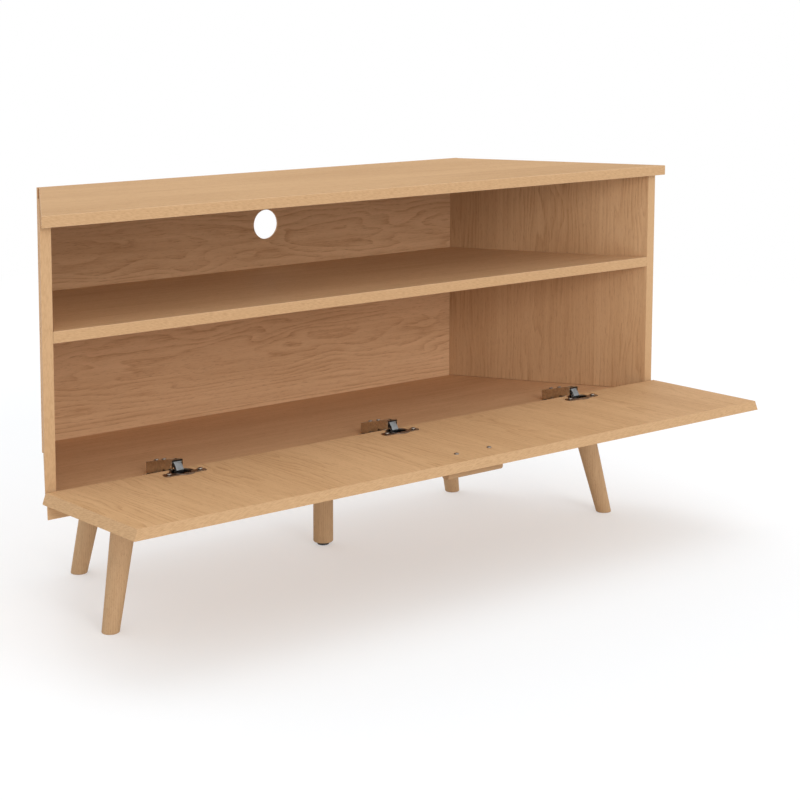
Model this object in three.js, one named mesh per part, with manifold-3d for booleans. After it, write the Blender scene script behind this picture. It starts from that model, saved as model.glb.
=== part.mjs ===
import * as THREE from "three";
import { mergeVertices } from "three/addons/utils/BufferGeometryUtils.js";
import Module from "manifold-3d";

// A corner television cabinet in veneered oak, with a drop-down flap under an open shelf bay.
// Lengths are millimetres and angles are degrees. +X runs to the right, +Y to the back and +Z up.
// The origin lies on the ground, under the middle of the cabinet with its flap laid open.
// Inside the carcass group, z is zero at the floor panel's upper face and y is zero at the side
// panels' front edges.

const wasm = await Module();
wasm.setup();

// Boards of the carcass
const cabinetWidth = 1200;
const cabinetDepth = 310.7;
const sideSlantAngle = 29.2;
const topThickness = 16;
const floorThickness = 18;
const shelfThickness = 16;
const sideThickness = 14.4;
const backThickness = 3;
const lowerBayHeight = 214.8;
const upperBayHeight = 141.2;
const sideProudOfEnds = 2.6;
const backShortOfFloor = 2;
const edgeEase = 0.6;
const cableHoleDiameter = 48;

// Flap, with the line that it turns on
const flapThickness = 15;
const flapClosedGap = 1.3;
const flapShortOfShelf = 0.8;
const flapPivotForward = 7.55;
const flapPivotHeight = 9.55;
const flapEndBevel = 5.4;
const flapFreeBevel = 1.5;
const flapRearGap = 3;
const flapInnerEase = 1.5;
const flapOuterEase = 2;

// Pull under the flap's free edge
const pullLength = 107;
const pullDepth = 15.4;
const pullHeight = 18.6;
const pullFromFreeEdge = 39.8;
const pullOffCentre = 4;
const pullRounding = 5;
const pullScrewPitch = 64;

// Cup hinges
const hingeAsideShare = 0.6525;
const cupDiameter = 35;
const cupDepth = 12.2;
const cupWall = 0.9;
const cupBase = 0.6;
const cupFromEdge = 21.5;
const cupRimWidth = 1.1;
const cupFlangeThickness = 1.2;
const cupFlangeLength = 68;
const cupFlangeWidth = 16;
const cupFlangeForward = 5.5;
const cupWaistRadius = 4;
const cupWaistAside = 20.5;
const cupScrewPitch = 52;
const armWidth = 18;
const armWall = 1.2;
const armRear = 54;
const armRearTop = 16.8;
const armKneeForward = 4;
const armNose = 12.3;
const armNoseTop = 31;
const armNoseUnder = 19;
const armThroat = 6;
const armThroatUnder = 18;
const armHeel = 2;
const armHeelUnder = 14.5;
const armInstep = 12;
const armSole = 18;
const armFoot = 2.6;
const armSlotWidth = 6;
const armSlotLength = 8;
const armSlotBack = 2.5;
const armSlideLength = 11;
const armPinProud = 0.6;
const armPinRadius = 1;
const outerPinForward = 10;
const outerPinHeight = 27;
const innerPinForward = 8;
const innerPinHeight = 21.5;
const linkPlay = 0.3;
const linkEye = 0.8;
const outerCupPinReach = 7;
const innerCupPinReach = 5.5;
const outerLinkWidth = 12;
const outerLinkStrip = 1.4;
const outerLinkShoulderShare = 0.46;
const outerLinkShoulderDropShare = 0.31;
const outerLinkBulgeShare = 0.58;
const outerLinkBulgeDropShare = 0.74;
const outerLinkChinDropShare = 0.93;
const outerLinkForkHeight = 3.4;
const innerLinkWidth = 6;
const innerLinkBar = 1.6;
const linkTipRadius = 1.1;
const plateRailLength = 42;
const plateRailHeight = 12;
const plateSetback = 37;
const plateWingLength = 52;
const plateWingWidth = 14;
const plateWingThickness = 2;
const plateScrewPitch = 32;

// Legs
const legHeight = 184;
const legFootRadius = 12.5;
const legTopRadius = 18.9;
const frontLegInset = 126.6;
const frontLegBack = 31;
const frontLegSplayAngle = 14.9;
const frontLegTurnAngle = -26.4;
const rearLegInset = 97.3;
const rearLegFromRear = 45.7;
const rearLegSplayAngle = 11.7;
const rearLegTurnAngle = 17.2;
const centreLegBackShare = 0.515;
const centreLegDiameter = 32;
const centreLegLift = 5;
const centreLegChamfer = 1.5;
const glideDiameter = 19;
const glideThickness = 3.5;
const glideStemDiameter = 8;
const glideStemLength = 24;
const glideTravel = 1;

// Screws
const woodScrewHead = 3.6;
const woodScrewShank = 1.8;
const woodScrewHeadHeight = 1.8;
const pullScrewLength = 24;
const cupScrewLength = 11;
const plateScrewLength = 13;
const armScrewHead = 3.4;
const armScrewShank = 2.2;
const armScrewTip = 5;
const rearArmScrewBack = 41;
const frontArmScrewBack = 22;
const headCrownShare = 0.8;
const recessSpan = 3.6;
const recessWidth = 0.8;
const recessDepth = 1.1;

// Shared
const seatGap = 0.3;
const cutOverrun = 5;
const roundFaces = 32;
const smallFaces = 12;

const oak = { color: 0xcfa878, roughness: 0.55, metalness: 0 };
const steel = { color: 0x8d8b88, roughness: 0.32, metalness: 1 };
const brightSteel = { color: 0xc9c7c2, roughness: 0.22, metalness: 1 };
const darkCup = { color: 0x3b322c, roughness: 0.3, metalness: 0.9 };
const blackPlastic = { color: 0x161616, roughness: 0.6, metalness: 0 };

// Derived sizes
const slope = Math.tan(THREE.MathUtils.degToRad(sideSlantAngle));
const acrossSlant = 1 / Math.cos(THREE.MathUtils.degToRad(sideSlantAngle));
const half = (length) => length / 2;
const frontLip = flapClosedGap + flapThickness;
const shelfUnder = lowerBayHeight;
const shelfTop = shelfUnder + shelfThickness;
const topUnder = shelfTop + upperBayHeight;
const topSurface = topUnder + topThickness;
const groundLevel = -floorThickness - legHeight;
const flapInnerFace = flapPivotHeight + flapPivotForward - flapClosedGap;
const flapOuterFace = flapInnerFace - flapThickness;
const flapFreeEdge = -(shelfTop - flapShortOfShelf - flapPivotHeight) - flapPivotForward;
const frontmost = flapFreeEdge - flapFreeBevel;
const rearmost = cabinetDepth + seatGap + backThickness;
const originBack = half(frontmost + rearmost);
const hingeAside = hingeAsideShare * half(cabinetWidth);
const hingeCentres = [-hingeAside, 0, hingeAside];
const cupCentre = -flapRearGap - cupFromEdge;
const pullCentre = frontmost + pullFromFreeEdge;

// Half widths in plan, at a distance y behind the side panels' front edges
const endHalfWidth = (y) => half(cabinetWidth) - slope * (y + frontLip);
const sideHalfWidth = (y) => half(cabinetWidth) - slope * (y + frontLip) + sideProudOfEnds;
const bayHalfWidth = (y) => sideHalfWidth(y) - (sideThickness + seatGap) * acrossSlant;

const rearLegBack = cabinetDepth - rearLegFromRear;
const frontLegAside = endHalfWidth(frontLegBack) - frontLegInset;
const rearLegAside = endHalfWidth(rearLegBack) - rearLegInset;
const centreLegBack = centreLegBackShare * cabinetDepth;
const quarterTurn = half(Math.PI);
const hands = [["left", -1], ["right", 1]];
const knuckleRadius = armPinRadius + linkPlay + linkEye;

const materialOf = (finish) => new THREE.MeshStandardMaterial(finish);

function solidOf(geometry) {
  const bare = geometry.index ? geometry.toNonIndexed() : geometry.clone();
  bare.deleteAttribute("normal");
  bare.deleteAttribute("uv");
  const merged = mergeVertices(bare);
  const corners = merged.index.array;
  const faces = [];
  for (let i = 0; i < corners.length; i += 3) {
    const [a, b, c] = corners.slice(i, i + 3);
    if (a !== b && b !== c && c !== a) {
      faces.push(a, b, c);
    }
  }
  const mesh = new wasm.Mesh({
    numProp: 3,
    vertProperties: new Float32Array(merged.attributes.position.array),
    triVerts: new Uint32Array(faces),
  });
  return new wasm.Manifold(mesh);
}

function geometryOf(solid) {
  const mesh = solid.getMesh();
  const geometry = new THREE.BufferGeometry();
  geometry.setAttribute("position", new THREE.BufferAttribute(mesh.vertProperties, 3));
  geometry.setIndex(new THREE.BufferAttribute(mesh.triVerts, 1));
  geometry.computeVertexNormals();
  return geometry;
}

function joined(geometries) {
  const [first, ...rest] = geometries.map(solidOf);
  return geometryOf(rest.reduce((whole, piece) => whole.add(piece), first));
}

function cut(body, tools) {
  return geometryOf(tools.map(solidOf).reduce((whole, tool) => whole.subtract(tool), solidOf(body)));
}

function shared(first, second) {
  return geometryOf(solidOf(first).intersect(solidOf(second)));
}

// Local x, y and z of an extrusion carried onto the given cabinet axes
const ontoSection = new THREE.Matrix4().makeBasis(
  new THREE.Vector3(0, 1, 0),
  new THREE.Vector3(0, 0, 1),
  new THREE.Vector3(1, 0, 0),
);
const ontoElevation = new THREE.Matrix4().makeBasis(
  new THREE.Vector3(1, 0, 0),
  new THREE.Vector3(0, 0, 1),
  new THREE.Vector3(0, -1, 0),
);

function outline(points) {
  return new THREE.Shape(points.map(([across, along]) => new THREE.Vector2(across, along)));
}

// A flat board with its plan outline, standing on z = 0, every edge eased
function board(shape, thickness) {
  const geometry = new THREE.ExtrudeGeometry(shape, {
    depth: thickness - 2 * edgeEase,
    bevelEnabled: true,
    bevelThickness: edgeEase,
    bevelSize: edgeEase,
    bevelOffset: -edgeEase,
    bevelSegments: 1,
    curveSegments: roundFaces / 4,
  });
  return geometry.translate(0, 0, edgeEase);
}

// A side view in y and z carried across the middle by a length in x
function acrossMiddle(shape, length) {
  const geometry = new THREE.ExtrudeGeometry(shape, {
    depth: length,
    bevelEnabled: false,
    curveSegments: smallFaces / 4,
  });
  return geometry.applyMatrix4(ontoSection).translate(-half(length), 0, 0);
}

function upright(radius, height, faces = smallFaces) {
  const geometry = new THREE.CylinderGeometry(radius, radius, height, faces);
  return geometry.rotateX(quarterTurn).translate(0, 0, half(height));
}

function rodAcross(radius, length, y, z) {
  const geometry = new THREE.CylinderGeometry(radius, radius, length, smallFaces);
  return geometry.rotateZ(quarterTurn).translate(0, y, z);
}

function named(name, geometry, finish, x = 0, y = 0, z = 0) {
  const mesh = new THREE.Mesh(geometry, materialOf(finish));
  mesh.name = name;
  mesh.position.set(x, y, z);
  return mesh;
}

// Carcass
function trapezoid(halfWidthAt, front, rear) {
  return outline([
    [-halfWidthAt(front), front],
    [halfWidthAt(front), front],
    [halfWidthAt(rear), rear],
    [-halfWidthAt(rear), rear],
  ]);
}

function sidePanel(name, hand) {
  const outer = (y) => hand * sideHalfWidth(y);
  const inner = (y) => hand * (sideHalfWidth(y) - sideThickness * acrossSlant);
  const plan = outline([
    [outer(0), 0],
    [outer(cabinetDepth), cabinetDepth],
    [inner(cabinetDepth), cabinetDepth],
    [inner(0), 0],
  ]);
  return named(name, board(plan, topUnder - 2 * seatGap), oak, 0, 0, seatGap);
}

function backPanel() {
  const width = sideHalfWidth(cabinetDepth + seatGap);
  const foot = -floorThickness + backShortOfFloor;
  const shape = outline([
    [-width, foot],
    [width, foot],
    [width, topSurface],
    [-width, topSurface],
  ]);
  const hole = new THREE.Path();
  hole.absarc(0, half(shelfTop + topUnder), half(cableHoleDiameter), 0, 2 * Math.PI, true);
  shape.holes.push(hole);
  const geometry = new THREE.ExtrudeGeometry(shape, {
    depth: backThickness,
    bevelEnabled: false,
    curveSegments: roundFaces,
  });
  geometry.applyMatrix4(ontoElevation).translate(0, backThickness, 0);
  return named("back_panel", geometry, oak, 0, cabinetDepth + seatGap, 0);
}

// Screws point down from z = 0, under a head with a cross recess
function screw(headRadius, headHeight, shankRadius, length) {
  const profile = [
    [0, -length],
    [half(shankRadius), -length + shankRadius],
    [shankRadius, -length + 2 * shankRadius],
    [shankRadius, 0],
    [headRadius, 0],
    [headRadius, half(headHeight)],
    [headRadius * headCrownShare, headHeight],
    [0, headHeight],
  ];
  const points = profile.map(([radius, z]) => new THREE.Vector2(radius, z));
  const turned = new THREE.LatheGeometry(points, smallFaces).rotateX(quarterTurn);
  const bar = new THREE.BoxGeometry(recessSpan, recessWidth, recessDepth + cutOverrun);
  bar.translate(0, 0, headHeight - recessDepth + half(recessDepth + cutOverrun));
  return cut(turned, [bar, bar.clone().rotateZ(quarterTurn)]);
}

// Flap, drawn lying open
function flapPanel() {
  const rear = -flapRearGap;
  const side = new THREE.Shape();
  side.moveTo(frontmost, flapOuterFace);
  side.lineTo(rear - flapOuterEase, flapOuterFace);
  side.absarc(rear - flapOuterEase, flapOuterFace + flapOuterEase, flapOuterEase, -quarterTurn, 0, false);
  side.lineTo(rear, flapInnerFace - flapInnerEase);
  side.absarc(rear - flapInnerEase, flapInnerFace - flapInnerEase, flapInnerEase, 0, quarterTurn, false);
  side.lineTo(flapFreeEdge, flapInnerFace);
  side.closePath();
  const outerHalf = half(cabinetWidth);
  const innerHalf = outerHalf - flapEndBevel;
  const front = outline([
    [-outerHalf, flapOuterFace],
    [outerHalf, flapOuterFace],
    [innerHalf, flapInnerFace],
    [-innerHalf, flapInnerFace],
  ]);
  const depth = -frontmost + cutOverrun;
  const across = new THREE.ExtrudeGeometry(front, { depth, bevelEnabled: false });
  across.applyMatrix4(ontoElevation);
  const slab = shared(acrossMiddle(side, cabinetWidth + 2 * cutOverrun), across);
  return named("flap_panel", cut(slab, flapBores()), oak);
}

function flapBores() {
  const cups = hingeCentres.map((x) =>
    upright(half(cupDiameter) + seatGap, cupDepth + seatGap + cutOverrun, roundFaces).translate(
      x,
      cupCentre,
      flapInnerFace - cupDepth - seatGap,
    ),
  );
  const cupScrews = hingeCentres.flatMap((x) =>
    [-1, 1].map((side) =>
      upright(woodScrewShank + seatGap, cupScrewLength + seatGap + cutOverrun).translate(
        x + side * half(cupScrewPitch),
        cupCentre - cupFlangeForward,
        flapInnerFace + cupFlangeThickness + seatGap - cupScrewLength - seatGap,
      ),
    ),
  );
  const pullScrews = [-1, 1].map((side) =>
    upright(woodScrewShank + seatGap, flapThickness + 2 * cutOverrun).translate(
      pullOffCentre + side * half(pullScrewPitch),
      pullCentre,
      flapOuterFace - cutOverrun,
    ),
  );
  return [...cups, ...cupScrews, ...pullScrews];
}

function pullBar() {
  const edge = half(pullDepth);
  const bend = edge - pullRounding;
  const rise = pullRounding - pullHeight;
  const side = new THREE.Shape();
  side.moveTo(-edge, 0);
  side.lineTo(-edge, rise);
  side.absarc(-bend, rise, pullRounding, Math.PI, 3 * quarterTurn, false);
  side.lineTo(bend, -pullHeight);
  side.absarc(bend, rise, pullRounding, 3 * quarterTurn, 4 * quarterTurn, false);
  side.lineTo(edge, 0);
  side.closePath();
  const bores = [-1, 1].map((hand) =>
    upright(woodScrewShank + seatGap, pullScrewLength).translate(
      hand * half(pullScrewPitch),
      0,
      flapThickness - pullScrewLength,
    ),
  );
  const geometry = cut(acrossMiddle(side, pullLength), bores);
  return named("flap_pull", geometry, oak, pullOffCentre, pullCentre, flapOuterFace - seatGap);
}

// Hinges: cup in the flap, plate on the floor panel, arm clamped over the plate, two links between
function hingeCup(name, x) {
  const shell = upright(half(cupDiameter), cupDepth + seatGap + cupFlangeThickness, roundFaces);
  const rim = upright(half(cupDiameter) + cupRimWidth, cupFlangeThickness, roundFaces);
  const wing = half(cupFlangeLength) - half(cupFlangeWidth);
  const flangeShape = new THREE.Shape();
  flangeShape.absarc(wing, 0, half(cupFlangeWidth), -quarterTurn, quarterTurn, false);
  flangeShape.absarc(-wing, 0, half(cupFlangeWidth), quarterTurn, 3 * quarterTurn, false);
  flangeShape.closePath();
  const flange = new THREE.ExtrudeGeometry(flangeShape, {
    depth: cupFlangeThickness,
    bevelEnabled: false,
    curveSegments: smallFaces / 2,
  });
  const body = joined([
    shell.translate(0, 0, -cupDepth),
    rim.translate(0, 0, seatGap),
    flange.translate(0, -cupFlangeForward, seatGap),
  ]);
  const well = upright(half(cupDiameter) - cupWall, cupDepth + cutOverrun, roundFaces);
  const holes = [-1, 1].map((side) =>
    upright(woodScrewShank + seatGap, cupFlangeThickness + 2 * cutOverrun).translate(
      side * half(cupScrewPitch),
      -cupFlangeForward,
      -cutOverrun,
    ),
  );
  const waists = [-1, 1].map((side) =>
    upright(cupWaistRadius, cupFlangeThickness + cutOverrun, smallFaces).translate(
      side * cupWaistAside,
      half(cupFlangeWidth) - cupFlangeForward,
      half(seatGap),
    ),
  );
  const geometry = cut(body, [well.translate(0, 0, -cupDepth + cupBase), ...holes, ...waists]);
  return named(name, geometry, darkCup, x, cupCentre, flapInnerFace);
}

// The arm's top falls towards the rear, and its screws stand square to it
const armTopSlope = (armNoseTop - armRearTop) / (armRear + armKneeForward);
const armTopAngle = Math.atan(armTopSlope);
const armTopAt = (back) => armRearTop + armTopSlope * (armRear - back);
const armScrewLengthAt = (back) => (armTopAt(back) - armScrewTip) / Math.cos(armTopAngle);

function ontoArm(geometry, back) {
  return geometry.rotateX(-armTopAngle).translate(0, back, armTopAt(back));
}

function hingeArm(name, x) {
  const side = outline([
    [armRear, armFoot],
    [armRear, armRearTop],
    [-armKneeForward, armNoseTop],
    [-armNose, armNoseTop],
    [-armNose, armNoseUnder],
    [-armThroat, armThroatUnder],
    [armHeel, armHeelUnder],
    [armInstep, armHeelUnder],
    [armSole, armFoot],
  ]);
  const channel = outline([
    [armRear + cutOverrun, armFoot - cutOverrun],
    [armRear + cutOverrun, armTopAt(armRear + cutOverrun) - armWall],
    [-armKneeForward, armNoseTop - armWall],
    [-armNose - cutOverrun, armNoseTop - armWall],
    [-armNose - cutOverrun, armFoot - cutOverrun],
  ]);
  const slot = new THREE.BoxGeometry(armSlotWidth, armSlotLength, armWall + 2 * cutOverrun);
  const slide = new THREE.BoxGeometry(2 * (armScrewShank + seatGap), armSlideLength, 2 * cutOverrun);
  const screwHole = upright(armScrewShank + seatGap, 2 * cutOverrun).translate(0, 0, -cutOverrun);
  const folded = cut(acrossMiddle(side, armWidth), [
    acrossMiddle(channel, armWidth - 2 * armWall),
    slot.translate(0, -armNose + armSlotBack + half(armSlotLength), armNoseTop),
    ontoArm(slide, rearArmScrewBack),
    ontoArm(screwHole, frontArmScrewBack),
  ]);
  const pinLength = armWidth + 2 * armPinProud;
  const geometry = joined([
    folded,
    rodAcross(armPinRadius, pinLength, -outerPinForward, outerPinHeight),
    rodAcross(armPinRadius, pinLength, -innerPinForward, innerPinHeight),
  ]);
  return named(name, geometry, steel, x);
}

function hingePlate(name, x) {
  const railWidth = armWidth - 2 * armWall - 2 * seatGap;
  const rail = new THREE.BoxGeometry(railWidth, plateRailLength, plateRailHeight);
  const wing = new THREE.BoxGeometry(plateWingLength, plateWingWidth, plateWingThickness);
  const body = joined([
    rail.translate(0, armRear - half(plateRailLength), seatGap + half(plateRailHeight)),
    wing.translate(0, plateSetback, seatGap + half(plateWingThickness)),
  ]);
  const armHoles = [rearArmScrewBack, frontArmScrewBack].map((back) => {
    const depth = armScrewLengthAt(back) + seatGap;
    return ontoArm(upright(armScrewShank + seatGap, depth).translate(0, 0, -depth), back);
  });
  const woodHoles = [-1, 1].map((side) =>
    upright(woodScrewShank + seatGap, plateWingThickness + 2 * cutOverrun).translate(
      side * half(plateScrewPitch),
      plateSetback,
      -cutOverrun,
    ),
  );
  return named(name, cut(body, [...armHoles, ...woodHoles]), steel, x);
}

// A link's cup end lies an eighth of a turn round the flap's line from its arm pin, so that it is
// seated both with the flap open and with the flap closed
function linkTip(pinForward, pinHeight, reach) {
  const pin = new THREE.Vector2(-pinForward, pinHeight);
  const line = new THREE.Vector2(-flapPivotForward, flapPivotHeight);
  const angle = pin.clone().sub(line).angle() + half(quarterTurn);
  const tip = new THREE.Vector2(Math.cos(angle), Math.sin(angle)).multiplyScalar(reach).add(line);
  return tip.sub(pin);
}

// A strip of even thickness bent along a path in y and z
function bentStrip(path, thickness) {
  const points = path.map(([y, z]) => new THREE.Vector2(y, z));
  const edge = (side) =>
    points.map((point, i) => {
      const before = point.clone().sub(points[Math.max(i - 1, 0)]);
      const after = points[Math.min(i + 1, points.length - 1)].clone().sub(point);
      const first = (before.length() > 0 ? before : after).clone().normalize();
      const second = (after.length() > 0 ? after : before).clone().normalize();
      const along = first.clone().add(second).normalize();
      const normal = new THREE.Vector2(-along.y, along.x);
      return normal.multiplyScalar((side * half(thickness)) / along.dot(first)).add(point);
    });
  return new THREE.Shape([...edge(1), ...edge(-1).reverse()]);
}

function hingeOuterLink(name, x) {
  const tip = linkTip(outerPinForward, outerPinHeight, outerCupPinReach);
  const span = tip.length();
  const chin = [-outerLinkBulgeShare * span, -outerLinkChinDropShare * span];
  const path = [
    [-knuckleRadius + half(outerLinkStrip), 0],
    [-outerLinkShoulderShare * span, -outerLinkShoulderDropShare * span],
    [-outerLinkBulgeShare * span, -outerLinkBulgeDropShare * span],
    chin,
    [tip.x, tip.y],
  ];
  const body = joined([
    acrossMiddle(bentStrip(path, outerLinkStrip), outerLinkWidth),
    rodAcross(knuckleRadius, outerLinkWidth, 0, 0),
    rodAcross(linkTipRadius, outerLinkWidth, tip.x, tip.y),
  ]);
  const fork = new THREE.BoxGeometry(innerLinkWidth + 2 * seatGap, span, outerLinkForkHeight + cutOverrun);
  fork.translate(0, chin[0] + outerLinkStrip + half(span), tip.y + half(outerLinkForkHeight - cutOverrun));
  const hole = rodAcross(armPinRadius + linkPlay, outerLinkWidth + 2 * cutOverrun, 0, 0);
  return named(name, cut(body, [fork, hole]), brightSteel, x, -outerPinForward, outerPinHeight);
}

function hingeInnerLink(name, x) {
  const tip = linkTip(innerPinForward, innerPinHeight, innerCupPinReach);
  const bar = new THREE.BoxGeometry(innerLinkWidth, tip.length(), innerLinkBar);
  bar.rotateX(tip.angle()).translate(0, half(tip.x), half(tip.y));
  const body = joined([
    rodAcross(knuckleRadius, innerLinkWidth, 0, 0),
    rodAcross(linkTipRadius, innerLinkWidth, tip.x, tip.y),
    bar,
  ]);
  const hole = rodAcross(armPinRadius + linkPlay, innerLinkWidth + 2 * cutOverrun, 0, 0);
  const geometry = cut(body, [hole]);
  return named(name, geometry, brightSteel, x, -innerPinForward, innerPinHeight);
}

function hinge(side, x) {
  const group = new THREE.Group();
  group.add(hingePlate(`hinge_plate_${side}`, x));
  group.add(hingeArm(`hinge_arm_${side}`, x));
  group.add(hingeOuterLink(`hinge_outer_link_${side}`, x));
  group.add(hingeInnerLink(`hinge_inner_link_${side}`, x));
  group.add(hingeCup(`hinge_cup_${side}`, x));
  const cupScrew = screw(woodScrewHead, woodScrewHeadHeight, woodScrewShank, cupScrewLength);
  const cupScrewSeat = flapInnerFace + 2 * seatGap + cupFlangeThickness;
  const plateScrew = screw(woodScrewHead, woodScrewHeadHeight, woodScrewShank, plateScrewLength);
  const plateScrewSeat = 2 * seatGap + plateWingThickness;
  for (const [hand, way] of hands) {
    const cupAside = x + way * half(cupScrewPitch);
    const cupBack = cupCentre - cupFlangeForward;
    group.add(named(`cup_screw_${side}_${hand}`, cupScrew, steel, cupAside, cupBack, cupScrewSeat));
    const plateName = `plate_screw_${side}_${hand}`;
    const plateAside = x + way * half(plateScrewPitch);
    group.add(named(plateName, plateScrew, steel, plateAside, plateSetback, plateScrewSeat));
  }
  for (const [place, back] of [["rear", rearArmScrewBack], ["front", frontArmScrewBack]]) {
    const length = armScrewLengthAt(back) + seatGap;
    const armScrew = screw(armScrewHead, woodScrewHeadHeight, armScrewShank, length);
    armScrew.translate(0, 0, seatGap);
    group.add(named(`arm_screw_${side}_${place}`, ontoArm(armScrew, back), steel, x));
  }
  return group;
}

// The floor panel is bored for the hinge plates' screws
function floorPanel() {
  const plan = trapezoid(endHalfWidth, -frontLip, cabinetDepth);
  const bores = hingeCentres.flatMap((x) =>
    [-1, 1].map((way) =>
      upright(woodScrewShank + seatGap, plateScrewLength + cutOverrun).translate(
        x + way * half(plateScrewPitch),
        plateSetback,
        floorThickness + 2 * seatGap + plateWingThickness - plateScrewLength - seatGap,
      ),
    ),
  );
  const geometry = cut(board(plan, floorThickness), bores);
  return named("floor_panel", geometry, oak, 0, 0, -floorThickness);
}

// Legs lean outward from their tops and are cut level at both ends
function splayedLeg(name, aside, back, splay, turn) {
  const lean = THREE.MathUtils.degToRad(splay);
  const heading = THREE.MathUtils.degToRad(turn);
  const hand = Math.sign(aside);
  const way = new THREE.Vector3(
    hand * Math.sin(lean) * Math.cos(heading),
    Math.sin(lean) * Math.sin(heading),
    -Math.cos(lean),
  );
  const height = legHeight - seatGap;
  const length = height / Math.cos(lean);
  const spare = legTopRadius;
  const spareTaper = ((legTopRadius - legFootRadius) * spare) / length;
  const shaft = new THREE.CylinderGeometry(
    legTopRadius + spareTaper,
    legFootRadius - spareTaper,
    length + 2 * spare,
    roundFaces,
  );
  shaft.rotateX(quarterTurn).translate(0, 0, -half(length));
  const turned = new THREE.Quaternion().setFromUnitVectors(new THREE.Vector3(0, 0, -1), way);
  shaft.applyQuaternion(turned);
  const reach = 2 * legHeight;
  const level = new THREE.BoxGeometry(reach, reach, height);
  const geometry = shared(shaft, level.translate(0, 0, -half(height)));
  return named(name, geometry, oak, aside, back, -floorThickness - seatGap);
}

function centreLeg() {
  const height = legHeight - centreLegLift - seatGap;
  const radius = half(centreLegDiameter);
  const profile = [
    [0, -height],
    [radius - centreLegChamfer, -height],
    [radius, -height + centreLegChamfer],
    [radius, 0],
    [0, 0],
  ].map(([r, z]) => new THREE.Vector2(r, z));
  const post = new THREE.LatheGeometry(profile, roundFaces).rotateX(quarterTurn);
  const boreDepth = glideStemLength + glideTravel + seatGap + cutOverrun;
  const bore = upright(half(glideStemDiameter) + seatGap, boreDepth);
  const geometry = cut(post, [bore.translate(0, 0, -height - cutOverrun)]);
  return named("centre_leg", geometry, oak, 0, centreLegBack, -floorThickness - seatGap);
}

function centreGlide() {
  const stem = upright(half(glideStemDiameter), centreLegLift + glideStemLength - seatGap);
  const disc = upright(half(glideDiameter), glideThickness, roundFaces);
  return named("centre_leg_glide", joined([disc, stem]), blackPlastic, 0, centreLegBack, groundLevel);
}

const cabinet = new THREE.Group();
const carcass = new THREE.Group();
carcass.position.set(0, -originBack, -groundLevel);
cabinet.add(carcass);

const topBoard = board(trapezoid(endHalfWidth, -frontLip, cabinetDepth), topThickness);
carcass.add(named("top_panel", topBoard, oak, 0, 0, topUnder));
carcass.add(floorPanel());
carcass.add(sidePanel("side_panel_left", -1));
carcass.add(sidePanel("side_panel_right", 1));
const shelfBoard = board(trapezoid(bayHalfWidth, 0, cabinetDepth), shelfThickness);
carcass.add(named("shelf_panel", shelfBoard, oak, 0, 0, shelfUnder));
carcass.add(backPanel());

carcass.add(flapPanel());
carcass.add(pullBar());
const pullScrew = screw(woodScrewHead, woodScrewHeadHeight, woodScrewShank, pullScrewLength);
for (const [hand, way] of hands) {
  const aside = pullOffCentre + way * half(pullScrewPitch);
  carcass.add(named(`pull_screw_${hand}`, pullScrew, steel, aside, pullCentre, flapInnerFace + seatGap));
}

carcass.add(hinge("left", -hingeAside));
carcass.add(hinge("middle", 0));
carcass.add(hinge("right", hingeAside));

const frontLegLean = [frontLegSplayAngle, frontLegTurnAngle];
const rearLegLean = [rearLegSplayAngle, rearLegTurnAngle];
for (const [hand, way] of hands) {
  carcass.add(splayedLeg(`front_leg_${hand}`, way * frontLegAside, frontLegBack, ...frontLegLean));
  carcass.add(splayedLeg(`rear_leg_${hand}`, way * rearLegAside, rearLegBack, ...rearLegLean));
}
carcass.add(centreLeg());
carcass.add(centreGlide());

export default cabinet;
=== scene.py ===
"""The looks of a corner television cabinet in oak veneer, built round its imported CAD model.

Lengths in the sub-assembly classes are millimetres in the cabinet's own frame: x is zero at the middle,
y is zero at the side panels' front edges and z is zero on the floor panel. A Place turns them into metres
of the CAD model's frame. Lengths in the finishes, the viewpoint and the studio are metres.
"""

import logging
import math
from collections.abc import Callable, Sequence
from dataclasses import dataclass, replace
from enum import Enum
from functools import cache

import bmesh
import bpy
from mathutils import Matrix, Vector


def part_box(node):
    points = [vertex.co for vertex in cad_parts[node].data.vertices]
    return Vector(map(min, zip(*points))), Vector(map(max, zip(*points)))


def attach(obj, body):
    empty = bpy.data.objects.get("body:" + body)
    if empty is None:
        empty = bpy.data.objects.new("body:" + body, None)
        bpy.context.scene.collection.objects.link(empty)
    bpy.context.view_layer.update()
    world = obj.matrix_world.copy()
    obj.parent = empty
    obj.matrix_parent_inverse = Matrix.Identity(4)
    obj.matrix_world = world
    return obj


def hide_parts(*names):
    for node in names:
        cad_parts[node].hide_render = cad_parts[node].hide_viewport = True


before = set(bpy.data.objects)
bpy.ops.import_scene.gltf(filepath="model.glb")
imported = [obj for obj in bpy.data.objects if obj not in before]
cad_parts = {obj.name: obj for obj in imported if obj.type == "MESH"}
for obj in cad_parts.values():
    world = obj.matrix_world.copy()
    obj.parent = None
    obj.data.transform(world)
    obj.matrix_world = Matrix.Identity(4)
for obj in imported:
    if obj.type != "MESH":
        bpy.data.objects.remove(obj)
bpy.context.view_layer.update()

LOG = logging.getLogger("cabinet")
MILLIMETRE = 0.001
Point = tuple[float, float]
Triple = tuple[float, float, float]
Colour = Triple
Values = dict[str | int, object]
UPWARD: Triple = (0.0, 0.0, 1.0)
WHITE = (1.0, 1.0, 1.0, 1.0)


class GrainAxis(Enum):
    """The way that a board's fibres run, as the turn that brings them onto X."""

    ALONG_X = (0.0, 0.0, 0.0)
    ALONG_Y = (0.0, 0.0, -math.pi / 2)
    ALONG_Z = (0.0, math.pi / 2, 0.0)


class Made(Enum):
    """How a piece is made, with the word that ends its name."""

    TURNED = "turned"
    PRESSED = "pressed"
    FOLDED = "folded"
    MOULDED = "moulded"
    PLANED = "bar"


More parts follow.
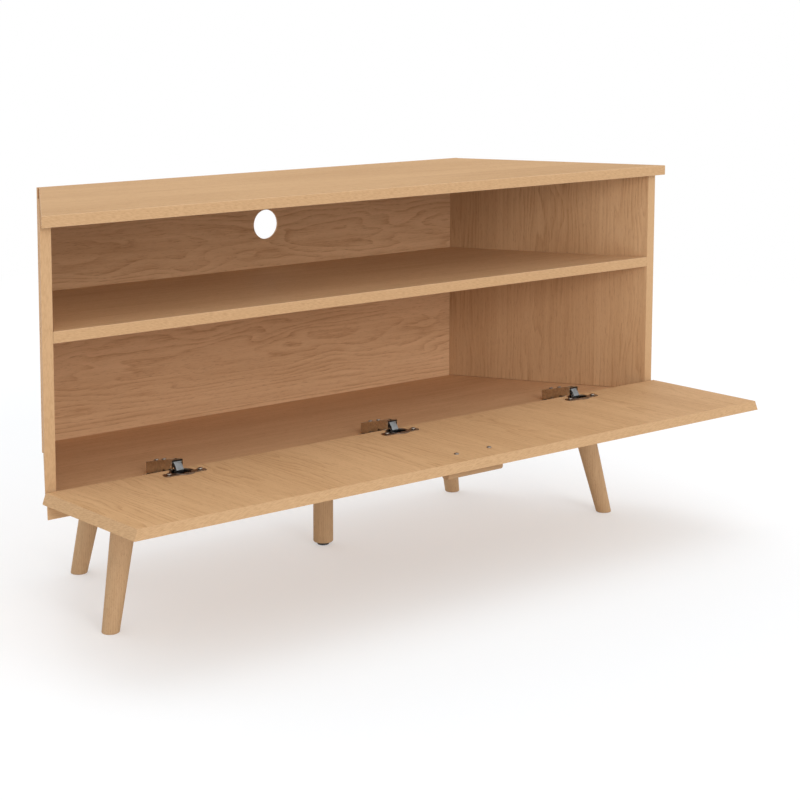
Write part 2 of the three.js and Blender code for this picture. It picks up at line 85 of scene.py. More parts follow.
@dataclass(frozen=True)
class Place:
    """A point of the cabinet's own frame that a piece is drawn from.

    Args:
        x: millimetres to the right of the middle.
        y: millimetres behind the side panels' front edges.
        z: millimetres over the floor panel.
    """

    x: float = 0.0
    y: float = 0.0
    z: float = 0.0

    def matrix(self) -> Matrix:
        """Builds the transform from millimetres at this place to metres of the CAD model's frame.

        Returns:
            The transform.
        """
        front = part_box("side_panel_left")[0][1]
        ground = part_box("floor_panel")[1][2]
        offset = Vector((self.x, self.y, self.z)) * MILLIMETRE
        return Matrix.Translation(Vector((0.0, front, ground)) + offset) @ Matrix.Scale(MILLIMETRE, 4)


def box_of(node: str) -> tuple[Vector, Vector]:
    """A CAD node's lowest and highest corner, in millimetres of the cabinet's own frame."""
    back = Place().matrix().inverted()
    return tuple(back @ Vector(corner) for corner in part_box(node))


def centre_of(node: str) -> Vector:
    """The middle of a CAD node's box, in millimetres of the cabinet's own frame."""
    low, high = box_of(node)
    return (low + high) / 2


def add_object(name: str, data: bpy.types.ID) -> bpy.types.Object:
    """Puts a mesh, a light or a camera into the scene.

    Args:
        name: the object's name.
        data: what it shows.

    Returns:
        The object, at the origin.
    """
    made = bpy.data.objects.new(name, data)
    bpy.context.scene.collection.objects.link(made)
    return made


class Signal:
    """A value in a node tree. Arithmetic on it adds Math nodes, or Vector Math nodes for vectors."""

    def __init__(self, graph: "ShaderGraph", socket: bpy.types.NodeSocket) -> None:
        """Wraps the socket that gives the value."""
        self.graph = graph
        self.socket = socket

    def __add__(self, other: object) -> "Signal":
        """The sum with a signal or a plain value."""
        return self.graph.math("ADD", self, other)

    def __sub__(self, other: object) -> "Signal":
        """This signal less a signal or a plain value."""
        return self.graph.math("SUBTRACT", self, other)

    def __rsub__(self, other: object) -> "Signal":
        """A plain value less this signal."""
        return self.graph.math("SUBTRACT", other, self)

    def __mul__(self, other: object) -> "Signal":
        """The product with a signal or a plain value."""
        return self.graph.math("MULTIPLY", self, other)

    def __truediv__(self, other: object) -> "Signal":
        """This signal divided by a signal or a plain value."""
        return self.graph.math("DIVIDE", self, other)


class ShaderGraph:
    """A node tree with short calls for adding and joining its nodes."""

    def __init__(self, tree: bpy.types.NodeTree) -> None:
        """Wraps the tree that new nodes go into."""
        self.tree = tree

    def feed(self, sockets: bpy.types.NodeInputs, values: Values) -> None:
        """Links signals to a node's inputs and sets the inputs that get plain values.

        Args:
            sockets: the node's inputs.
            values: a signal or a plain value for each input, by the input's name or place.
        """
        for key, value in values.items():
            if isinstance(value, Signal):
                self.tree.links.new(value.socket, sockets[key])
            else:
                sockets[key].default_value = value

    def add(self, kind: str, values: Values | None = None, **settings: object) -> bpy.types.Node:
        """Adds a node.

        Args:
            kind: the node's type name, without its ShaderNode prefix.
            values: a signal or a plain value for each input, by the input's name or place.
            **settings: the node's properties.

        Returns:
            The new node.
        """
        node = self.tree.nodes.new(f"ShaderNode{kind}")
        for key, value in settings.items():
            setattr(node, key, value)
        self.feed(node.inputs, values or {})
        return node

    def take(self, node: bpy.types.Node, output: str | int = 0) -> Signal:
        """The signal of a node's output, by the output's name or place."""
        return Signal(self, node.outputs[output])

    def first(self, kind: str, values: Values, **settings: object) -> Signal:
        """Adds a node as add does, and takes its first output."""
        return self.take(self.add(kind, values, **settings))

    def math(self, operation: str, *values: object) -> Signal:
        """Adds a Math node, or a Vector Math node where a value is a vector.

        Args:
            operation: the node's operation.
            *values: signals or plain values, in order.

        Returns:
            The result.
        """
        kinds = {value.socket.type if isinstance(value, Signal) else type(value) for value in values}
        kind = "VectorMath" if kinds & {"VECTOR", tuple} else "Math"
        return self.first(kind, dict(enumerate(values)), operation=operation)

    def split(self, vector: Signal) -> tuple[Signal, Signal, Signal]:
        """The three components of a vector."""
        node = self.add("SeparateXYZ", {"Vector": vector})
        return tuple(self.take(node, axis) for axis in "XYZ")

    def join(self, *parts: object) -> Signal:
        """The vector with the given components, and 0 for those left out."""
        return self.first("CombineXYZ", dict(enumerate(parts)))

    def noise(self, where: Signal, detail: float, roughness: float, distortion: float = 0.0) -> Signal:
        """The value from 0 to 1 of a noise of unit scale, with its octaves and how far it bends itself."""
        shape = {"Scale": 1.0, "Detail": detail, "Roughness": roughness, "Distortion": distortion}
        return self.first("TexNoise", {"Vector": where, **shape})

    def ramp(
        self, value: Signal, low: float, high: float, to_low: float = 0.0, to_high: float = 1.0
    ) -> Signal:
        """A value mapped from low and high to to_low and to_high, with soft ends."""
        span = {"Value": value, "From Min": low, "From Max": high, "To Min": to_low, "To Max": to_high}
        return self.first("MapRange", span, interpolation_type="SMOOTHSTEP")

    def mix(self, share: Signal, first: object, second: object) -> Signal:
        """A blend of two colours, by the second one's share."""
        return self.take(self.add("Mix", {0: share, 6: first, 7: second}, data_type="RGBA"), 2)

    def bump(self, strength: float, distance: float, height: Signal) -> Signal:
        """The normal of a surface with fine relief, whose height is given."""
        return self.first("Bump", {"Strength": strength, "Distance": distance, "Height": height})


def start_group(
    name: str, inputs: dict[str, str], outputs: dict[str, str]
) -> tuple[ShaderGraph, dict[str, Signal], bpy.types.NodeInputs]:
    """Starts a shader node group with named sockets.

    Args:
        name: the group's name.
        inputs: socket type of each input, by its name.
        outputs: socket type of each output, by its name.

    Returns:
        The group's graph, the signals of its inputs and the sockets of its outputs.
    """
    tree = bpy.data.node_groups.new(name, "ShaderNodeTree")
    for sockets, way in ((inputs, "INPUT"), (outputs, "OUTPUT")):
        for label, kind in sockets.items():
            tree.interface.new_socket(name=label, in_out=way, socket_type=f"NodeSocket{kind}")
    graph = ShaderGraph(tree)
    entry = tree.nodes.new("NodeGroupInput")
    given = {label: graph.take(entry, label) for label in inputs}
    return graph, given, tree.nodes.new("NodeGroupOutput").inputs


def start_material(name: str) -> tuple[bpy.types.Material, ShaderGraph, bpy.types.Node]:
    """Starts a material with a Principled BSDF.

    Args:
        name: the material's name.

    Returns:
        The material, its graph and the shader node.
    """
    material = bpy.data.materials.new(name)
    material.use_nodes = True
    shader = next(node for node in material.node_tree.nodes if node.type == "BSDF_PRINCIPLED")
    return material, ShaderGraph(material.node_tree), shader


@dataclass(frozen=True)
class Layer:
    """One scale of a surface's irregularity: a noise stretched along the fibres or the brushing.

    Args:
        along: its waves to the metre lengthwise.
        across: its waves to the metre crosswise.
        low: noise that gives to_low.
        high: noise that gives to_high.
        to_low: the layer's value in its low places.
        to_high: the layer's value in its high places.
        detail: octaves.
        roughness: weight of the finer octaves.
        distortion: how far the noise bends itself.
    """

    along: float
    across: float
    low: float = 0.3
    high: float = 0.75
    to_low: float = 0.0
    to_high: float = 1.0
    detail: float = 2.0
    roughness: float = 0.5
    distortion: float = 0.0

    def noise(self, graph: ShaderGraph, where: Signal) -> Signal:
        """The layer's plain noise at a place, from 0 to 1."""
        stretched = where * (self.along, self.across, self.across)
        return graph.noise(stretched, self.detail, self.roughness, self.distortion)

    def mapped(self, graph: ShaderGraph, noise: Signal) -> Signal:
        """The layer's value for its noise."""
        return graph.ramp(noise, self.low, self.high, self.to_low, self.to_high)

    def value(self, graph: ShaderGraph, where: Signal) -> Signal:
        """The layer's value at a place."""
        return self.mapped(graph, self.noise(graph, where))


@dataclass(frozen=True)
class OakFigure:
    """The oak's figure as a node group: growth rings drawn as contour lines, fibres, pores and tint.

    Its Vector has the fibres along X and the veneer leaves side by side along Y, in metres.

    Args:
        numbers: the group's plain inputs, which OakFinish has as fields.
        seed_step: how far one step of the seed moves the wood, in metres.
        leaf_step: how far apart the leaves' wood lies at most, in metres.
        bend: octaves, weight of the finer ones and distortion of the rings' broad bends.
        crown_side: distances from a leaf's middle, as shares of its width, over which the bends calm down.
        wander: the rings' small waves.
        wander_reach: how many rings they reach over.
        late_power: how late in its year a ring turns dark.
        ring_end: share of the year at which the dark wood starts to end.
        strength: where the rings show well.
        broken: fine breaks in the rings' lines.
        fibre: shade of the single fibres.
        streak: shade of bundles of fibres.
        broad: shade of broad areas.
        dash: where pores lie.
        late_pores: how far the pores keep to the dark wood.
        pore_shade: how far a pore takes the pore colour.
        fibre_height: height of a fibre beside the depth of a pore.
    """

    numbers: tuple[str, ...] = (
        "Rings", "Figure", "Crown", "Crown Width", "Leaf Width", "Leaf Start", "Leaf Tint", "Loop Length",
        "Loop Width", "Contrast", "Seed",
    )
    seed_step: Triple = (1.0, 0.37, 0.71)
    leaf_step: float = 3.0
    bend: Triple = (2.0, 0.45, 0.3)
    crown_side: Point = (0.22, 0.46)
    wander: Layer = Layer(9.0, 60.0)
    wander_reach: float = 1.1
    late_power: float = 2.2
    ring_end: float = 0.88
    strength: Layer = Layer(3.5, 16.0, 0.36, 0.62, to_low=0.2)
    broken: Layer = Layer(26.0, 420.0, 0.34, 0.62, to_low=0.2, roughness=0.6)
    fibre: Layer = Layer(14.0, 640.0, to_high=0.2, detail=3.0, roughness=0.6)
    streak: Layer = Layer(4.0, 120.0, to_high=0.2)
    broad: Layer = Layer(1.4, 8.0, 0.3, 0.7, -0.06, 0.2, distortion=0.4)
    dash: Layer = Layer(95.0, 1300.0, 0.58, 0.7, detail=1.0)
    late_pores: float = 0.6
    pore_shade: float = 0.5
    fibre_height: float = 0.35

    @cache
    def build(self) -> bpy.types.NodeTree:
        """Builds the group once.

        Returns:
            The group.
        """
        inputs = {"Vector": "Vector", "Light": "Color", "Dark": "Color", "Pore": "Color"}
        outputs = {"Color": "Color", "Pores": "Float", "Height": "Float"}
        graph, given, out = start_group("oak_figure", inputs | dict.fromkeys(self.numbers, "Float"), outputs)
        _, y, z = graph.split(given["Vector"])
        across = y + z
        leaves = (across - given["Leaf Start"]) / given["Leaf Width"]
        from_middle = graph.math("FRACT", leaves) - 0.5
        leaf = graph.math("FLOOR", leaves) + given["Seed"]
        chance = graph.take(graph.add("TexWhiteNoise", {"W": leaf}, noise_dimensions="1D"), "Value")
        own = given["Vector"] + given["Seed"] * self.seed_step + graph.join(chance * self.leaf_step)

        crowned = graph.math("SQRT", from_middle * from_middle + given["Crown Width"]) * given["Leaf Width"]
        spread = across + (crowned - across) * given["Crown"]
        loop = graph.join(given["Loop Length"], given["Loop Width"], given["Loop Width"])
        beside = graph.ramp(graph.math("ABSOLUTE", from_middle), *self.crown_side)
        swing = (graph.noise(own / loop, *self.bend) - 0.5) * (1.0 - beside * given["Crown"])
        rings = spread * given["Rings"] + swing * given["Figure"]
        year = graph.math("FRACT", rings + self.wander.noise(graph, own) * self.wander_reach)
        late = graph.math("POWER", year, self.late_power)
        ring = late * graph.ramp(year, self.ring_end, 1.0, 1.0, 0.0)
        line = ring * self.strength.value(graph, own) * self.broken.value(graph, own)

        fibre = self.fibre.noise(graph, own)
        shade = line * given["Contrast"] + self.fibre.mapped(graph, fibre) + self.streak.value(graph, own)
        shade = shade + self.broad.value(graph, own) + chance * given["Leaf Tint"]
        wood = graph.mix(shade, given["Light"], given["Dark"])
        pores = self.dash.value(graph, own) * (ring * self.late_pores + (1.0 - self.late_pores))
        colour = graph.mix(pores * self.pore_shade, wood, given["Pore"])
        graph.feed(out, {"Color": colour, "Pores": pores, "Height": fibre * self.fibre_height - pores})
        return graph.tree


@dataclass(frozen=True)
class EdgeFlecks:
    """The edge banding's look as a node group: short flecks that run aslant across the narrow edge.

    Its Vector has the edge's length along X and its width along Y, in metres.

    Args:
        along: flecks to the metre along the edge.
        across: flecks to the metre across it.
        detail: octaves of the flecks, and the weight of the finer ones.
        shown: noise at which a fleck starts and at which it is full.
        waver: the bends of the flecks' rows.
        waver_reach: how far the rows bend, in metres.
        depth: depth of a fleck in the relief.
    """

    along: float = 130.0
    across: float = 1100.0
    detail: Point = (2.0, 0.55)
    shown: Point = (0.36, 0.7)
    waver: Layer = Layer(30.0, 60.0)
    waver_reach: float = 0.002
    depth: float = 0.3

    @cache
    def build(self) -> bpy.types.NodeTree:
        """Builds the group once.

        Returns:
            The group.
        """
        inputs = {"Vector": "Vector", "Light": "Color", "Dark": "Color", "Slant": "Float", "Seed": "Float"}
        graph, given, out = start_group("edge_flecks", inputs, {"Color": "Color", "Height": "Float"})
        x, y, _ = graph.split(given["Vector"])
        leaning = x * given["Slant"] + y + self.waver.noise(graph, given["Vector"]) * self.waver_reach
        where = graph.join(x * self.along, leaning * self.across, given["Seed"])
        shade = graph.ramp(graph.noise(where, *self.detail), *self.shown)
        colour = graph.mix(shade, given["Light"], given["Dark"])
        graph.feed(out, {"Color": colour, "Height": shade * -self.depth})
        return graph.tree


@dataclass(frozen=True)
class HandlingMarks:
    """The faint cloudiness and fine lines that handling leaves on metal and plastic, as a node group.

    Args:
        cloud: the cloudiness.
        lines: the fine lines.
    """

    cloud: Layer = Layer(160.0, 160.0, detail=3.0, roughness=0.6)
    lines: Layer = Layer(108.0, 900.0)

    @cache
    def build(self) -> bpy.types.NodeTree:
        """Builds the group once.

        Returns:
            The group.
        """
        inputs = {"Vector": "Vector", "Roughness": "Float", "Spread": "Float"}
        graph, given, out = start_group("handling_marks", inputs, {"Roughness": "Float", "Height": "Float"})
        lines = self.lines.noise(graph, given["Vector"])
        swing = (self.cloud.noise(graph, given["Vector"]) + lines - 1.0) * given["Spread"]
        graph.feed(out, {"Roughness": given["Roughness"] + swing, "Height": lines})
        return graph.tree


@dataclass(frozen=True)
class OakFinish:
    """Satin-lacquered oak, as veneer or solid.

    Args:
        name: the material's name.
        grain: the way the fibres run.
        seed: which stretch of the oak's figure shows.
        rings: growth rings to the metre across the grain.
        figure: how many rings the figure bends by.
        crown: 1 for leaves with arches along their middle, 0 for a straight grain.
        crown_width: how broad the arches' open middle is.
        leaf_width: width of a veneer leaf, in metres.
        leaf_start: where a leaf starts across the grain, in metres.
        leaf_tint: how far the leaves differ in shade.
        loop_length: length of the figure's bends, in metres.
        loop_width: width of the figure's bends, in metres.
        contrast: strength of the rings.
        slant: turn in plan, in degrees, that brings the board onto the cabinet's own axes.
        banded: the direction that the board's veneered faces look, where its edges are banded.
        band_slant: lean of the banding's flecks.
        highlight_share: how far the eased edges take the painted highlight.
        light: colour of the early wood.
        dark: colour of the late wood.
        pore: colour inside the pores.
        band_light: light colour of the banding.
        band_dark: dark colour of the banding.
        arris_highlight: colour of the painted highlight on the eased edges.
        tone: what the wood's colours are multiplied by.
        band_tone: what the banding's colours are multiplied by.
        gloss: level of the lacquer's reflection.
        roughness: roughness of the wood, and inside its pores.
        relief: strength and depth of the grain's relief.
        face: how far a surface looks along banded, from the first place of a face to its full one.
        eased: the same for the first and the full place of an eased edge, where the highlight is painted.
        slot: the record's material slot; not used.
    """

    name: str
    grain: GrainAxis
    seed: float
    rings: float = 150.0
    figure: float = 3.0
    crown: float = 0.0
    crown_width: float = 0.03
    leaf_width: float = 0.16
    leaf_start: float = 0.0
    leaf_tint: float = 0.1
    loop_length: float = 0.42
    loop_width: float = 0.075
    contrast: float = 0.5
    slant: float = 0.0
    banded: Triple | None = None
    band_slant: float = 0.16
    highlight_share: float = 0.6
    light: Colour = (0.668, 0.432, 0.238)
    dark: Colour = (0.480, 0.280, 0.135)
    pore: Colour = (0.265, 0.140, 0.065)
    band_light: Colour = (0.690, 0.447, 0.245)
    band_dark: Colour = (0.575, 0.357, 0.184)
    arris_highlight: Colour = (0.800, 0.560, 0.340)
    tone: Colour = (0.91, 0.88, 0.88)
    band_tone: Colour = (0.835, 0.815, 0.805)
    gloss: float = 0.05
    roughness: Point = (0.6, 0.78)
    relief: Point = (0.16, 0.0004)
    face: Point = (0.82, 0.9)
    eased: Point = (0.4, 0.5)
    slot: str = "oak"

    @staticmethod
    def toned(colour: Colour, tone: Colour) -> tuple[float, float, float, float]:
        """A colour multiplied by a tone, as a socket takes it."""
        return (*(value * share for value, share in zip(colour, tone)), 1.0)

    @cache
    def material(self) -> bpy.types.Material:
        """Builds the finish as a material, once.

        Returns:
            The material.
        """
        material, graph, shader = start_material(self.name)
        where = graph.add("TexCoord")
        turned = graph.take(where, "Object")
        for turn in ((0.0, 0.0, math.radians(self.slant)), self.grain.value):
            turned = graph.first("Mapping", {"Vector": turned, "Rotation": turn})
        colours = {"Light": self.light, "Dark": self.dark, "Pore": self.pore}
        values = {label: self.toned(colour, self.tone) for label, colour in colours.items()}
        figure = OakFigure()
        values |= {label: getattr(self, label.lower().replace(" ", "_")) for label in figure.numbers}
        oak = graph.add("Group", {"Vector": turned, **values}, node_tree=figure.build())
        colour = graph.take(oak, "Color")
        if self.banded is not None:
            colour = self.with_banding(graph, graph.take(where, "Normal"), turned, colour)
        look = {
            "Base Color": colour,
            "Roughness": graph.ramp(graph.take(oak, "Pores"), 0.0, 1.0, *self.roughness),
            "Normal": graph.bump(*self.relief, graph.take(oak, "Height")),
            "Specular IOR Level": self.gloss,
        }
        graph.feed(shader.inputs, look)
        return material

    def with_banding(self, graph: ShaderGraph, normal: Signal, turned: Signal, wood: Signal) -> Signal:
        """Lays banding over the board's edges and a painted highlight, a lighter colour, over their eased
        corners.

        Args:
            graph: the material's graph.
            normal: the surface's direction.
            turned: where the surface is, with the grain along X.
            wood: colour of the faces.

        Returns:
            The colour of the faces, the edges and their corners.
        """
        x, y, z = graph.split(turned)
        edge = (x, y + z) if self.grain is GrainAxis.ALONG_Z else (x + y, z)
        colours = {"Light": self.band_light, "Dark": self.band_dark}
        values = {label: self.toned(colour, self.band_tone) for label, colour in colours.items()}
        values |= {"Vector": graph.join(*edge), "Slant": self.band_slant, "Seed": self.seed}
        band = graph.add("Group", values, node_tree=EdgeFlecks().build())
        facing = graph.add("VectorMath", {0: normal, 1: self.banded}, operation="DOT_PRODUCT")
        flat = graph.math("ABSOLUTE", graph.take(facing, "Value"))
        beside_face = graph.ramp(flat, *self.face, 1.0, 0.0)
        colour = graph.mix(beside_face, wood, graph.take(band))
        # painted highlight: the eased corners between face and edge get a lighter colour that stands in for
        # their bright sheen
        corner = graph.ramp(flat, *self.eased) * beside_face * self.highlight_share
        return graph.mix(corner, colour, self.toned(self.arris_highlight, self.band_tone))


@dataclass(frozen=True)
class HandledFinish:
    """Plated steel or moulded plastic, with the marks that handling leaves.

    Args:
        name: the material's name.
        slot: the record's material slot; not used.
        colour: its colour.
        roughness: middle roughness.
        metallic: 1 for bare plating, less under a dark lacquer, 0 for plastic.
        spread: how far handling changes the roughness.
        patches: where the colour changes, through thin plating or wear.
        patch_share: what the colour is multiplied by there.
        patch_haze: what is added to it there.
        relief: strength and depth of the marks.
    """

    name: str
    slot: str
    colour: Colour
    roughness: float
    metallic: float = 1.0
    spread: float = 0.12
    patches: Layer = Layer(220.0, 220.0, 0.3, 0.7)
    patch_share: float = 0.8
    patch_haze: float = 0.0
    relief: Point = (0.06, 0.0001)

    @cache
    def material(self) -> bpy.types.Material:
        """Builds the finish as a material, once.

        Returns:
            The material.
        """
        material, graph, shader = start_material(self.name)
        where = graph.take(graph.add("TexCoord"), "Object")
        values = {"Vector": where, "Roughness": self.roughness, "Spread": self.spread}
        marks = graph.add("Group", values, node_tree=HandlingMarks().build())
        patch = (*(value * self.patch_share + self.patch_haze for value in self.colour), 1.0)
        look = {
            "Base Color": graph.mix(self.patches.value(graph, where), (*self.colour, 1.0), patch),
            "Roughness": graph.take(marks, "Roughness"),
            "Normal": graph.bump(*self.relief, graph.take(marks, "Height")),
            "Metallic": self.metallic,
        }
        graph.feed(shader.inputs, look)
        return material


Finish = OakFinish | HandledFinish
HINGE_STEEL = HandledFinish("hinge_steel", "hinge_steel", (0.64, 0.57, 0.47), 0.3)
SCREW_STEEL = HandledFinish("screw_steel", "hinge_steel", (0.36, 0.31, 0.265), 0.45)
LINK_METAL = HandledFinish("link_metal", "link_metal", (0.26, 0.268, 0.272), 0.4)
CUP_METAL = HandledFinish("cup_metal", "cup_metal", (0.31, 0.225, 0.165), 0.3)
# painted shade: a near-black finish put on faces deep in hollows, where only shade falls
PAINTED_SHADE = HandledFinish("painted_shade_well", "cup_metal", (0.03, 0.025, 0.02), 0.4, metallic=0.8)
BLACK_PLASTIC = HandledFinish(
    "black_plastic", "black_plastic", (0.012, 0.012, 0.013), 0.5, metallic=0.0, spread=0.2,
    patches=Layer(108.0, 900.0, 0.35, 0.75), patch_share=1.6, patch_haze=0.004, relief=(0.25, 0.0001),
)


def rectangle(left: float, front: float, right: float, rear: float) -> list[Point]:
    """The corners of an upright rectangle between two opposite ones."""
    return [(left, front), (right, front), (right, rear), (left, rear)]


def arc(middle: Point, radius: float, start: float, sweep: float, steps: int) -> list[Point]:
    """Points along an arc, with both of its ends.

    Args:
        middle: the arc's middle.
        radius: its radius.
        start: angle of its first point.
        sweep: angle from its first point to its last.
        steps: parts that it is divided into.

    Returns:
        The points.
    """
    angles = [start + sweep * i / steps for i in range(steps + 1)]
    return [(middle[0] + radius * math.cos(a), middle[1] + radius * math.sin(a)) for a in angles]


def strip_outline(path: Sequence[Vector], thickness: float) -> list[Point]:
    """Finds the outline of a strip of even thickness along a bent path.

    Args:
        path: the strip's middle line.
        thickness: its thickness.

    Returns:
        The outline's corners.
    """
    sides: list[list[Point]] = [[], []]
    for i, point in enumerate(path):
        before = (point - path[i - 1]).normalized() if i > 0 else None
        after = (path[i + 1] - point).normalized() if i < len(path) - 1 else None
        first, second = before or after, after or before
        along = (first + second).normalized()
        reach = thickness / 2 / along.dot(first)
        for side, way in zip(sides, (1, -1)):
            side.append((point.x - along.y * reach * way, point.y + along.x * reach * way))
    return [*sides[0], *sides[1][::-1]]


def thread(
    start: float, end: float, pitch: float, root: float, crest: float, rise: float = 0.5
) -> list[Point]:
    """Finds the profile of a screw thread.

    Args:
        start: height of its first root.
        end: height that its last root stays under.
        pitch: distance from root to root.
        root: radius at the roots.
        crest: radius at the crests.
        rise: share of the pitch from a root to the next crest.

    Returns:
        Radius and height of each corner.
    """
    profile: list[Point] = []
    height = start
    while height < end:
        profile += [(root, height), (crest, height + rise * pitch)]
        height += pitch
    return profile


class Draft:
    """A mesh being drawn, in millimetres at a place, until it becomes a piece."""

    WELD_DISTANCE = 0.0005
    SMOOTH_UP_TO = math.radians(32.0)

    def __init__(self) -> None:
        """Starts an empty mesh."""
        self.mesh = bmesh.new()

    def rings(self, rings: Sequence[Sequence[Vector]]) -> "Draft":
        """Joins closed rings of equal count into a skin, with a flat face on each end.

        Args:
            rings: the rings, from one end to the other.

        Returns:
            This draft.
        """
        rows = [[self.mesh.verts.new(point) for point in ring] for ring in rings]
        count = len(rows[0])
        for lower, upper in zip(rows, rows[1:]):
            for i in range(count):
                j = (i + 1) % count
                self.mesh.faces.new((lower[i], lower[j], upper[j], upper[i]))
        self.mesh.faces.new(rows[0][::-1])
        self.mesh.faces.new(rows[-1])
        return self

    def section(self, points: Sequence[Point], width: float) -> "Draft":
        """Sweeps a side view, given as y and z, across the middle over a width."""
        return self.rings([[Vector((x, y, z)) for y, z in points] for x in (-width / 2, width / 2)])

    def plate(self, points: Sequence[Point], low: float, high: float) -> "Draft":
        """Sweeps a plan, given as x and y, from its underside to its upper side."""
        return self.rings([[Vector((x, y, z)) for x, y in points] for z in (low, high)])

    def lathe(self, profile: Sequence[Point], count: int, centre: Vector = Vector()) -> "Draft":
        """Turns a profile round z.

        Args:
            profile: radius and z, from one end to the other.
            count: faces round.
            centre: where the axis stands.

        Returns:
            This draft.
        """
        angles = [2 * math.pi * i / count for i in range(count)]
        return self.rings(
            [[centre + Vector((r * math.cos(a), r * math.sin(a), z)) for a in angles] for r, z in profile]
        )

    def rod(self, radius: float, length: float, at: Point, count: int = 24, crown: float = 0.0) -> "Draft":
        """Adds a round bar across the middle.

        Args:
            radius: its radius.
            length: its length in x.
            at: y and z of its axis.
            count: faces round.
            crown: rounding of both ends.

        Returns:
            This draft.
        """
        half = length / 2
        stations = [(-half, radius), (half, radius)]
        if crown:
            end, side = radius - crown, half - crown
            stations = [(-half, end), (-side, radius), (side, radius), (half, end)]
        y, z = at
        angles = [2 * math.pi * i / count for i in range(count)]
        return self.rings(
            [[Vector((x, y + r * math.cos(a), z + r * math.sin(a))) for a in angles] for x, r in stations]
        )

    def bevel(self, width: float, segments: int = 2, over: float = 50.0) -> "Draft":
        """Rounds the sharp edges.

        Args:
            width: size of the rounding.
            segments: faces across it.
            over: angle in degrees over which an edge counts as sharp.

        Returns:
            This draft.
        """
        bmesh.ops.recalc_face_normals(self.mesh, faces=self.mesh.faces)
        limit = math.radians(over)
        sharp = [edge for edge in self.mesh.edges if edge.calc_face_angle(0.0) > limit]
        shape = {"segments": segments, "profile": 0.5, "affect": "EDGES", "clamp_overlap": True}
        bmesh.ops.bevel(self.mesh, geom=sharp, offset=width, **shape)
        return self

    def tilt(self, angle: float) -> "Draft":
        """Leans the draft to the back about zero by an angle in radians."""
        bmesh.ops.transform(self.mesh, matrix=Matrix.Rotation(-angle, 4, "X"), verts=self.mesh.verts)
        return self

    def solid(self, name: str) -> bpy.types.Object:
        """Makes the mesh an object, which uses up the draft.

        Args:
            name: the object's name.

        Returns:
            The object.
        """
        bmesh.ops.recalc_face_normals(self.mesh, faces=self.mesh.faces)
        data = bpy.data.meshes.new(name)
        self.mesh.to_mesh(data)
        self.mesh.free()
        return add_object(name, data)

    def combined(self, operation: str, others: Sequence["Draft"]) -> "Draft":
        """Joins with or cuts by other drafts, which uses up all of them.

        Args:
            operation: the Boolean modifier's operation.
            others: the other drafts.

        Returns:
            A draft of the result.
        """
        solids = [draft.solid("working_solid") for draft in (self, *others)]
        for tool in solids[1:]:
            step = solids[0].modifiers.new("combine", "BOOLEAN")
            step.operation = operation
            step.solver = "EXACT"
            step.object = tool
        bpy.context.view_layer.update()
        shaped = solids[0].evaluated_get(bpy.context.evaluated_depsgraph_get())
        result = Draft()
        result.mesh.from_mesh(shaped.data)
        for data in [solid.data for solid in solids]:
            bpy.data.meshes.remove(data)
        return result

    def joined(self, *others: "Draft") -> "Draft":
        """This draft with others joined to it."""
        return self.combined("UNION", others)

    def cut(self, *others: "Draft") -> "Draft":
        """This draft with others cut out of it."""
        return self.combined("DIFFERENCE", others)

    def piece(self, node: str, made: Made, place: Place, finish: Finish, body: str) -> bpy.types.Object:
        """Makes the mesh the piece that stands for a CAD node.

        Args:
            node: the CAD node.
            made: how the piece is made.
            place: where its zero lies.
            finish: its finish.
            body: the CAD body that it moves with.

        Returns:
            The piece.
        """
        bmesh.ops.remove_doubles(self.mesh, verts=self.mesh.verts, dist=self.WELD_DISTANCE)
        bmesh.ops.recalc_face_normals(self.mesh, faces=self.mesh.faces)
        for face in self.mesh.faces:
            face.smooth = True
        for edge in self.mesh.edges:
            edge.smooth = edge.calc_face_angle(math.pi) < self.SMOOTH_UP_TO
        bmesh.ops.transform(self.mesh, matrix=place.matrix(), verts=self.mesh.verts)
        piece = self.solid(f"{node}_{made.value}")
        piece.data.materials.append(finish.material())
        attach(piece, body)
        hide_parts(node)
        LOG.info("%s stands for %s on %s", piece.name, node, body)
        return piece


def paint_shade(piece: bpy.types.Object, place: Place, chosen: Callable[[Vector], bool]) -> None:
    """Paints shade on the faces of a piece's hollow, as a near-black second material.

    Args:
        piece: the piece.
        place: where its zero lies.
        chosen: tells from a face's middle, in millimetres at the place, whether it takes the painted shade.
    """
    piece.data.materials.append(PAINTED_SHADE.material())
    to_place = place.matrix().inverted()
    for face in piece.data.polygons:
        if chosen(to_place @ face.center):
            face.material_index = 1


def dress(node: str, finish: Finish) -> None:
    """Gives a CAD node, which keeps its shape, its finish.

    Args:
        node: the node's name.
        finish: the finish.
    """
    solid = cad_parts[node]
    solid.data.materials.clear()
    solid.data.materials.append(finish.material())
    LOG.info("%s keeps its CAD shape", node)


